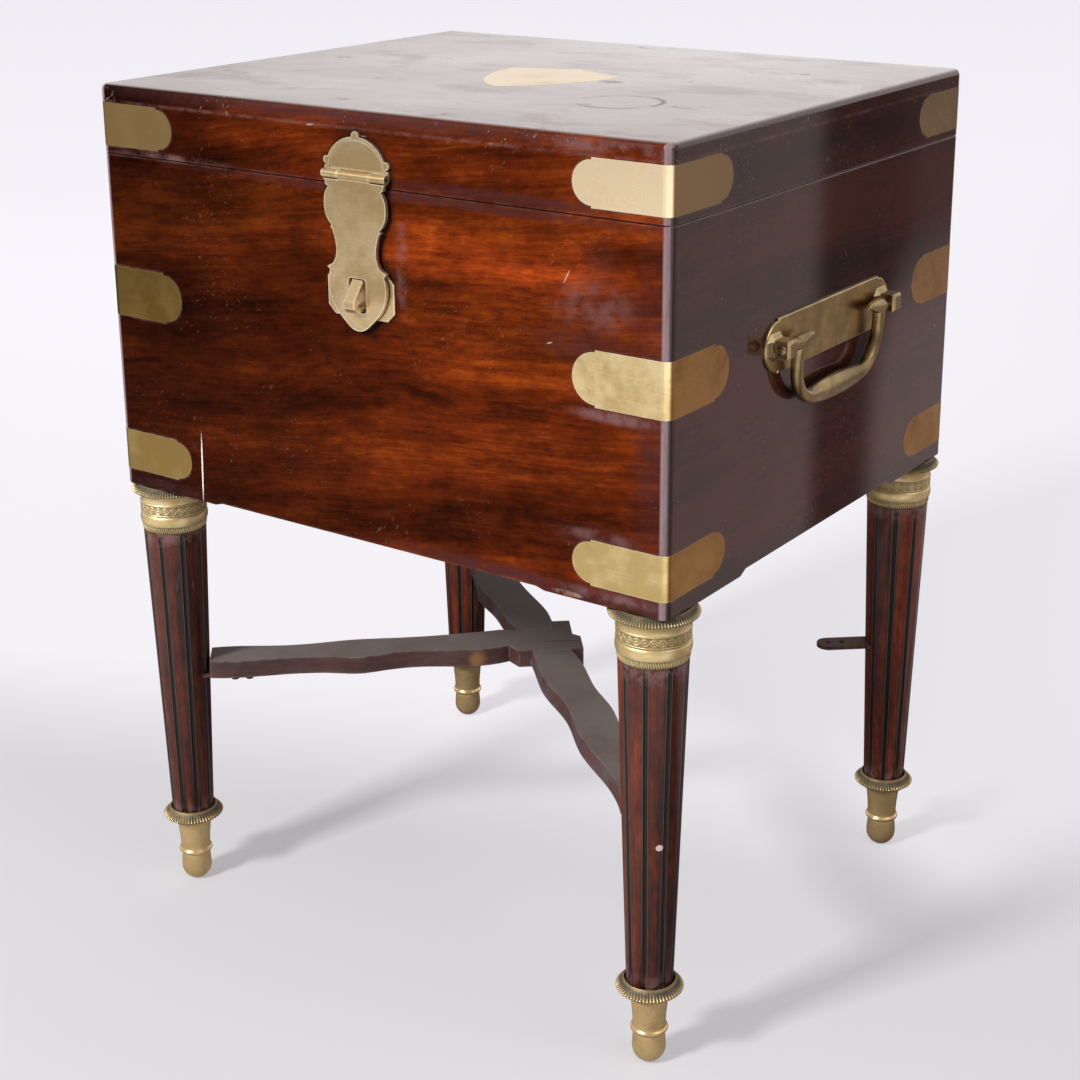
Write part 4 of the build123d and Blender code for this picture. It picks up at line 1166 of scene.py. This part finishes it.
# %% Brass feet
end_hole = 0.6
foot_outline = [
    (end_hole, 0), (4.6, 0), (5.5, 0.3), (7.0, 1.3), (8.6, 2.7), (10.0, 4.5), (11.0, 6.6),
    (11.5, 8.6), (11.7, 10.6), (11.65, 13.0), (11.5, 15.5), (11.3, 18.0), (11.0, 20.5),
    (10.9, 22.2), (10.6, 22.9), (10.8, 23.4), (11.9, 23.8), (12.8, 24.4), (13.1, 25.3),
    (12.9, 26.2), (12.2, 26.9), (11.6, 27.3), (11.5, 28.5), (11.6, 33.0), (11.9, 38.0),
    (12.4, 42.5), (12.7, 46.0), (13.1, 49.6), (13.9, 52.2), (15.4, 54.4), (17.4, 56.0),
    (19.6, 57.2), (21.4, 57.8), (22.6, 58.1), (23.2, 58.3), (23.45, 58.55), (23.3, 58.85),
    (22.8, 59.3), (22.0, 60.0), (21.2, 60.75), (20.4, 61.5), (19.6, 62.25), (19.0, 62.85),
    (18.6, 63.4), (18.35, 64.0), (18.1, 64.5), (17.7, 64.7), (17.35, 64.4), (17.25, 63.5),
    (17.25, 53.1), (8.2, 53.1), (8.2, 36.0), (end_hole, 36.0),
]


def close_end(piece, height):
    """Fill the small hole that a turned piece has on its axis."""
    pick(piece)
    for part in (piece.data.polygons, piece.data.edges):
        part.foreach_set("select", [False] * len(part))
    for vertex in piece.data.vertices:
        radius, level, _ = round_the_axis(vertex)
        vertex.select = abs(level - height) < 0.01 and radius < end_hole + 0.1
    bpy.ops.object.mode_set(mode="EDIT")
    bpy.ops.mesh.merge(type="CENTER")
    bpy.ops.object.mode_set(mode="OBJECT")


def make_feet():
    """Turn one foot, cut its teeth and stand a copy under each leg."""
    foot = turn_piece("foot", foot_outline, 480)
    close_end(foot, foot_outline[0][1])
    close_end(foot, foot_outline[-1][1])
    cut_teeth(foot, count=60, inner=18.7, outer=23.45, above=56.5)
    stand_copies(foot, foot_brass, "foot")


make_feet()

# %% [markdown]
# The carrying handles are cast, so nothing on them is sharp: round arms run down into a thick flat
# grip, and each arm's top has a small beak that points inward. We draw the bail as one line of
# places with a radius at each, and let a curve give it a round section.

# %% Lines of the swan-neck handles, as (x, y, z, radius) in millimetres from the pivot
bail_line = [
    (0, -59.0, 1.5, 4.6), (0, -59.6, -6, 4.3), (-0.5, -59.8, -13, 4.2), (-1.1, -58.9, -21, 4.3),
    (-1.6, -56.4, -28.5, 4.4), (-2.0, -51.8, -35, 4.5), (-2.0, -45.4, -39.6, 4.7),
    (-2.0, -38, -41.9, 5.2), (-2.0, -30, -42.4, 6.1), (-2.0, -20, -42.5, 7.0),
    (-2.0, -10, -42.5, 7.6), (-2.0, 0, -42.5, 7.75),
]
beak_line = [
    (0, -71.0, 0, 3.0), (0, -66.0, 0, 4.0), (0, -62.5, 0.2, 5.0), (0, -58.5, 0.6, 5.3),
    (0.2, -54.0, 1.2, 4.9), (0.5, -50.0, 2.0, 4.0), (0.8, -46.5, 2.6, 3.0), (1.0, -43.5, 2.6, 2.5),
    (1.0, -41.2, 2.2, 1.7), (1.0, -39.6, 1.8, 0.5),
]
head_line = [(0, -83.6, 0, 3.8), (0, -84.4, 0, 3.7), (0, -84.9, 0, 2.9), (0, -85.1, 0, 1.2)]
print("bail: half of it through", len(bail_line), "places")


def smooth_line(points, steps):
    """More places along a line, by Catmull and Rom's rule."""
    dense = []
    padded = [points[0], *points, points[-1]]
    for before, first, second, after in zip(padded, padded[1:], padded[2:], padded[3:]):
        for step in range(steps):
            t = step / steps
            dense.append(tuple(
                0.5 * (2 * b + (c - a) * t + (2 * a - 5 * b + 4 * c - d) * t * t
                       + (3 * b - a - 3 * c + d) * t ** 3)
                for a, b, c, d in zip(before, first, second, after)
            ))
    return [*dense, points[-1]]


def draw_rod(name, points):
    """A round rod along (x, y, z, radius) places in millimetres, as a closed mesh."""
    pick()
    bpy.ops.curve.primitive_nurbs_path_add(location=(0, 0, 0))
    rod = bpy.context.object
    rod.name = name
    curve = rod.data
    curve.splines.clear()
    line = curve.splines.new("POLY")
    line.points.add(len(points) - 1)
    for point, (x, y, z, radius) in zip(line.points, points):
        point.co = (x * mm, y * mm, z * mm, 1)
        point.radius = radius
    curve.dimensions = "3D"
    curve.twist_mode = "MINIMUM"
    curve.bevel_depth = mm
    curve.bevel_resolution = 10
    curve.use_fill_caps = True
    bpy.ops.object.convert(target="MESH")
    return bpy.context.object


# %% [markdown]
# The grip is round until it is flattened: its section is squeezed along a line that leans a little,
# most in the middle and not at all where the arms begin. Then arms, beaks and rivet heads become
# one piece, which is carried to its pivot. The left one is the right one mirrored.

# %% Swan-neck handles
grip_x, grip_z = bail_line[-1][0] * mm, bail_line[-1][2] * mm
grip_lean = radians(15)
grip_squeeze = 0.46
grip_end, grip_taper = 46, 22
pivot_out, pivot_up = 0.01, 0.1503  # from the case's side, and above its bottom


def flatten_grip(rod):
    """Squeeze the round grip along its leaning thickness."""
    for vertex in rod.data.vertices:
        share = max(0.0, min(1.0, (grip_end - abs(vertex.co.y / mm)) / grip_taper))
        share = share * share * (3 - 2 * share)
        x, z = vertex.co.x - grip_x, vertex.co.z - grip_z
        across = (x * cos(grip_lean) + z * sin(grip_lean)) * (1 - grip_squeeze * share)
        up = -x * sin(grip_lean) + z * cos(grip_lean)
        vertex.co.x = across * cos(grip_lean) - up * sin(grip_lean) + grip_x
        vertex.co.z = across * sin(grip_lean) + up * cos(grip_lean) + grip_z


def make_bail(hand, out):
    """One handle's bail: two arms and a grip, with beaks and rivet heads."""
    half = smooth_line(bail_line, 6)
    whole = half + [(x, -y, z, radius) for x, y, z, radius in half[-2::-1]]
    rods = [draw_rod(f"bail_{hand}", whole)]
    flatten_grip(rods[0])
    for end in (-1, 1):
        for label, places in (("beak", smooth_line(beak_line, 5)), ("rivet", head_line)):
            placed = [(x, -end * y, z, radius) for x, y, z, radius in places]
            rods.append(draw_rod(f"{label}_{hand}_{end + 1}", placed))
    pick(*rods)
    bpy.ops.object.join()
    bail = bpy.context.object
    pivot = Vector((out * (side_x + pivot_out), mid_y, case_bottom + pivot_up))
    bail.data.transform(Matrix.Translation(pivot) @ Matrix.Diagonal((out, 1, 1, 1)))
    bpy.ops.object.mode_set(mode="EDIT")
    turn_faces_out()
    bpy.ops.object.mode_set(mode="OBJECT")
    finish_piece(bail, bail_brass, f"handle_bail_{hand}", f"handle_{hand}")


make_bail("right", 1)
make_bail("left", -1)

# %% [markdown]
# The velvet linings are thin and a little padded. In the case, each cell's velvet swells between
# the boards that hold it down, so the sheet is cut into a fine grid and its upper face is raised
# cell by cell. In the lid it is stretched flat under the mirror's frame.

# %% Velvet linings
swell_run_out = 0.02  # how far from its cell's edges the velvet reaches its full height


def make_lining(node, body, columns, rows, swell):
    """A padded sheet in a node's place; columns and rows give the cells' edges along X and Y."""
    low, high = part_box(node)
    pick()
    bpy.ops.mesh.primitive_cube_add(size=1, location=(low + high) / 2)
    sheet = bpy.context.object
    sheet.name = f"padded_{node}"
    sheet.scale = high - low
    bpy.ops.object.transform_apply()
    bpy.ops.object.mode_set(mode="EDIT")
    bpy.ops.mesh.select_all(action="SELECT")
    bpy.ops.mesh.subdivide(number_cuts=90)
    bpy.ops.object.mode_set(mode="OBJECT")
    for vertex in sheet.data.vertices:
        if abs(vertex.co.z - high.z) < 0.1 * mm:
            rise = swell
            for value, edges in ((vertex.co.x, columns), (vertex.co.y, rows)):
                rise *= min(1.0, min(abs(value - edge) for edge in edges) / swell_run_out) ** 0.5
            vertex.co.z += rise
    finish_piece(sheet, velvet, node, body)


def edges_between(node, along):
    """The places of the boards of a node along one axis."""
    return sorted({round(vertex.co[along], 4) for vertex in nodes[node].data.vertices})


in_low, in_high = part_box("base_lining")
cell_x = [in_low.x, in_high.x, *edges_between("partitions_front", 0)]
cell_y = [in_low.y, in_high.y, middle_of("partition_long").y]
make_lining("base_lining", "case", cell_x, cell_y, swell=1.6 * mm)
lid_low, lid_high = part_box("lid_lining")
make_lining("lid_lining", "lid", [lid_low.x, lid_high.x], [lid_low.y, lid_high.y], swell=0.0)

# %% [markdown]
# The stage is a wide pale floor with three faces. To the camera it glows a little, and more behind
# the box, as a paper sweep does where it rises. To the light that it throws back it is plain pale
# paper. To polished surfaces it is a room: dark on the left, which deepens the tone of the
# left-hand brasses along with the painted shade in their colour, and with white boards on the right
# for the side to mirror.

# %% What the camera sees of the floor
floor_size, floor_back = 24, 4
paper_white = (0.7, 0.69, 0.71, 1)
seen_paper = (0.4, 0.393, 0.405, 1)
glow_near = (0.325, 0.316, 0.331, 1)
glow_middle = (0.575, 0.56, 0.59, 1)
glow_far = (0.71, 0.69, 0.73, 1)


def diffuse(tree, colour):
    """A matt shader."""
    return add_node(tree, "ShaderNodeBsdfDiffuse", {"Color": colour})[0]


def shine(tree, colour, strength=1.0):
    """A shader that glows."""
    return add_node(tree, "ShaderNodeEmission", {"Color": colour, "Strength": strength})[0]


def either(tree, amount, first, second):
    """Mix two shaders; 0 gives the first."""
    return add_node(tree, "ShaderNodeMixShader", {0: amount, 1: first, 2: second})[0]


def seen_floor(tree, spot):
    """Pale paper that keeps the shadow, and a glow that grows towards the back."""
    away = spot["X"] * -0.3 + spot["Y"]
    behind, far = remap(away, -0.02, 0.3), remap(away, 0.25, 1.9)
    glow = mix(far, mix(behind, glow_near, glow_middle), glow_far)
    dim = far * remap(spot["X"], -1.0, 0.3, 0.0, 0.14)
    strength = remap(spot["X"], -0.2, 0.3, 1.0, 1.1) - dim
    shaders = {0: diffuse(tree, seen_paper), 1: shine(tree, glow, strength)}
    return add_node(tree, "ShaderNodeAddShader", shaders)[0]


# %% [markdown]
# The polished side mirrors the floor beside it. What lies there is drawn as fans that spread from
# one point, where the side's mirrored lines of sight meet: a board with one sharp edge, a dark gap,
# and a second board that fades with distance.

# %% What polish mirrors of the floor
room_dark = (0.05, 0.04, 0.038, 1)
sweep_white, board_white = (1.0, 0.975, 0.965, 1), (1.0, 0.83, 0.81, 1)
fan_x, fan_y = -0.353, -1.173


def boards_beside(spot):
    """How bright the boards on the right are."""
    slope = (spot["Y"] - fan_y) / (spot["X"] - fan_x)
    leaning = slope + remap(spot["X"], 1.4, 0.8, 0.0, 0.1)
    distant = remap(spot["X"], 1.4, 0.9, 0.12, 0.62)
    return larger(remap(slope, 1.98, 1.93, 0.0, 0.56), remap(leaning, 2.17, 2.25) * distant)


def mirrored_floor(tree, spot):
    """A dark room to the left, paper in front, and the boards to the right."""
    card = remap(spot["X"], 0.45, 0.8) * remap(spot["Y"], -0.1, -0.4)
    lit = remap(spot["X"], -2.3, -1.1) * remap(spot["Y"], 0.1, -0.7)
    beside = remap(spot["X"], 0.26, 0.34) * remap(spot["Y"], 0.0, 0.2)
    lit = between(beside, lit, boards_beside(spot))
    sweep = shine(tree, mix(beside, sweep_white, board_white), card * 0.5 + 0.85)
    return either(tree, lit, shine(tree, room_dark), sweep)


# %% [markdown]
# Light Path tells which kind of ray asks, and picks one of the three faces.

# %% Floor


def make_floor():
    """A large pale floor that keeps the object's shadow."""
    pick()
    bpy.ops.mesh.primitive_plane_add(size=floor_size, location=(0, floor_back, 0))
    floor = bpy.context.object
    floor.name = "floor"
    made, tree, surface, place = start_material("pale_floor")
    tree.nodes.remove(surface)
    spot = split(place)
    ray = add_node(tree, "ShaderNodeLightPath")
    plain = either(tree, ray["Is Camera Ray"], diffuse(tree, paper_white), seen_floor(tree, spot))
    whole = either(tree, ray["Is Glossy Ray"], plain, mirrored_floor(tree, spot))
    plug(tree.nodes["Material Output"].inputs["Surface"], whole)
    floor.data.materials.append(made)
    bpy.ops.object.transform_apply()
    print("floor:", len(tree.nodes), "nodes")


make_floor()

# %% [markdown]
# The room around the box gives a soft, even light. What the polished wood and the brass mirror is
# set apart from it: bright towards the back, where the paper sweep rises, and dimmer in front. Two
# square lamps add shape: a small key in front on the left, and a broad, weak fill on the right.

# %% Room light
room_level = 0.42
toward_back = (-0.35, 0.9, 0.25)
room_tint, mirrored_tint = (0.93, 0.92, 0.96, 1), (1.0, 0.955, 0.955, 1)


def make_room():
    """World light: even for diffuse surfaces, brighter behind for reflections."""
    world = bpy.data.worlds.new("room")
    bpy.context.scene.world = world
    world.use_nodes = True
    tree = world.node_tree
    back = tree.nodes["Background"]
    ray = add_node(tree, "ShaderNodeLightPath")
    way = add_node(tree, "ShaderNodeTexCoord")["Generated"]
    mirrored = remap(vector_sum("DOT_PRODUCT", way, toward_back), -0.1, 0.8, 0.32, 1.1)
    strength = ray["Is Glossy Ray"] * (mirrored - room_level) + room_level
    plug(back.inputs["Strength"], larger(strength, ray["Is Camera Ray"]))
    plug(back.inputs["Color"], mix(ray["Is Glossy Ray"], room_tint, mirrored_tint))


def add_softbox(name, place, aim, size, power):
    """A square area light that looks at a point."""
    lamp = bpy.data.lights.new(name, "AREA")
    lamp.shape = "SQUARE"
    lamp.size = size
    lamp.energy = power
    box = bpy.data.objects.new(name, lamp)
    bpy.context.scene.collection.objects.link(box)
    box.location = place
    box.rotation_euler = (Vector(aim) - Vector(place)).to_track_quat("-Z", "Y").to_euler()
    print("lamp:", name, power, "W")


make_room()
add_softbox("key", place=(-0.75, -2.6, 2.1), aim=(0, 0, 0.35), size=0.5, power=95)
add_softbox("fill", place=(2.6, -0.2, 2.4), aim=(0, 0, 0.3), size=2.0, power=18)

# %% [markdown]
# The camera stands to the right and a little above the lid, with a long lens, and its view is
# shifted down so the uprights stay nearly parallel.

# %% Camera
yaw, pitch, roll = radians(34.915), radians(17.340), radians(-0.239)
camera_place = (1.0733 - side_x, front_y - 0.9712, 0.8270)
camera_data = bpy.data.cameras.new("camera")
camera_data.sensor_width = 36
camera_data.lens = 65.65
camera_data.shift_x, camera_data.shift_y = -0.0133, -0.1111
camera = bpy.data.objects.new("camera", camera_data)
bpy.context.scene.collection.objects.link(camera)
camera.location = camera_place
toward = Vector((-sin(yaw) * cos(pitch), cos(yaw) * cos(pitch), -sin(pitch)))
camera.rotation_mode = "QUATERNION"
turn_over = Matrix.Rotation(-roll, 4, toward).to_quaternion()
camera.rotation_quaternion = turn_over @ toward.to_track_quat("-Z", "Y")
bpy.context.scene.camera = camera
bpy.context.scene.view_settings.view_transform = "Standard"
print("camera:", [round(v, 3) for v in camera.location], "lens", camera_data.lens, "mm")
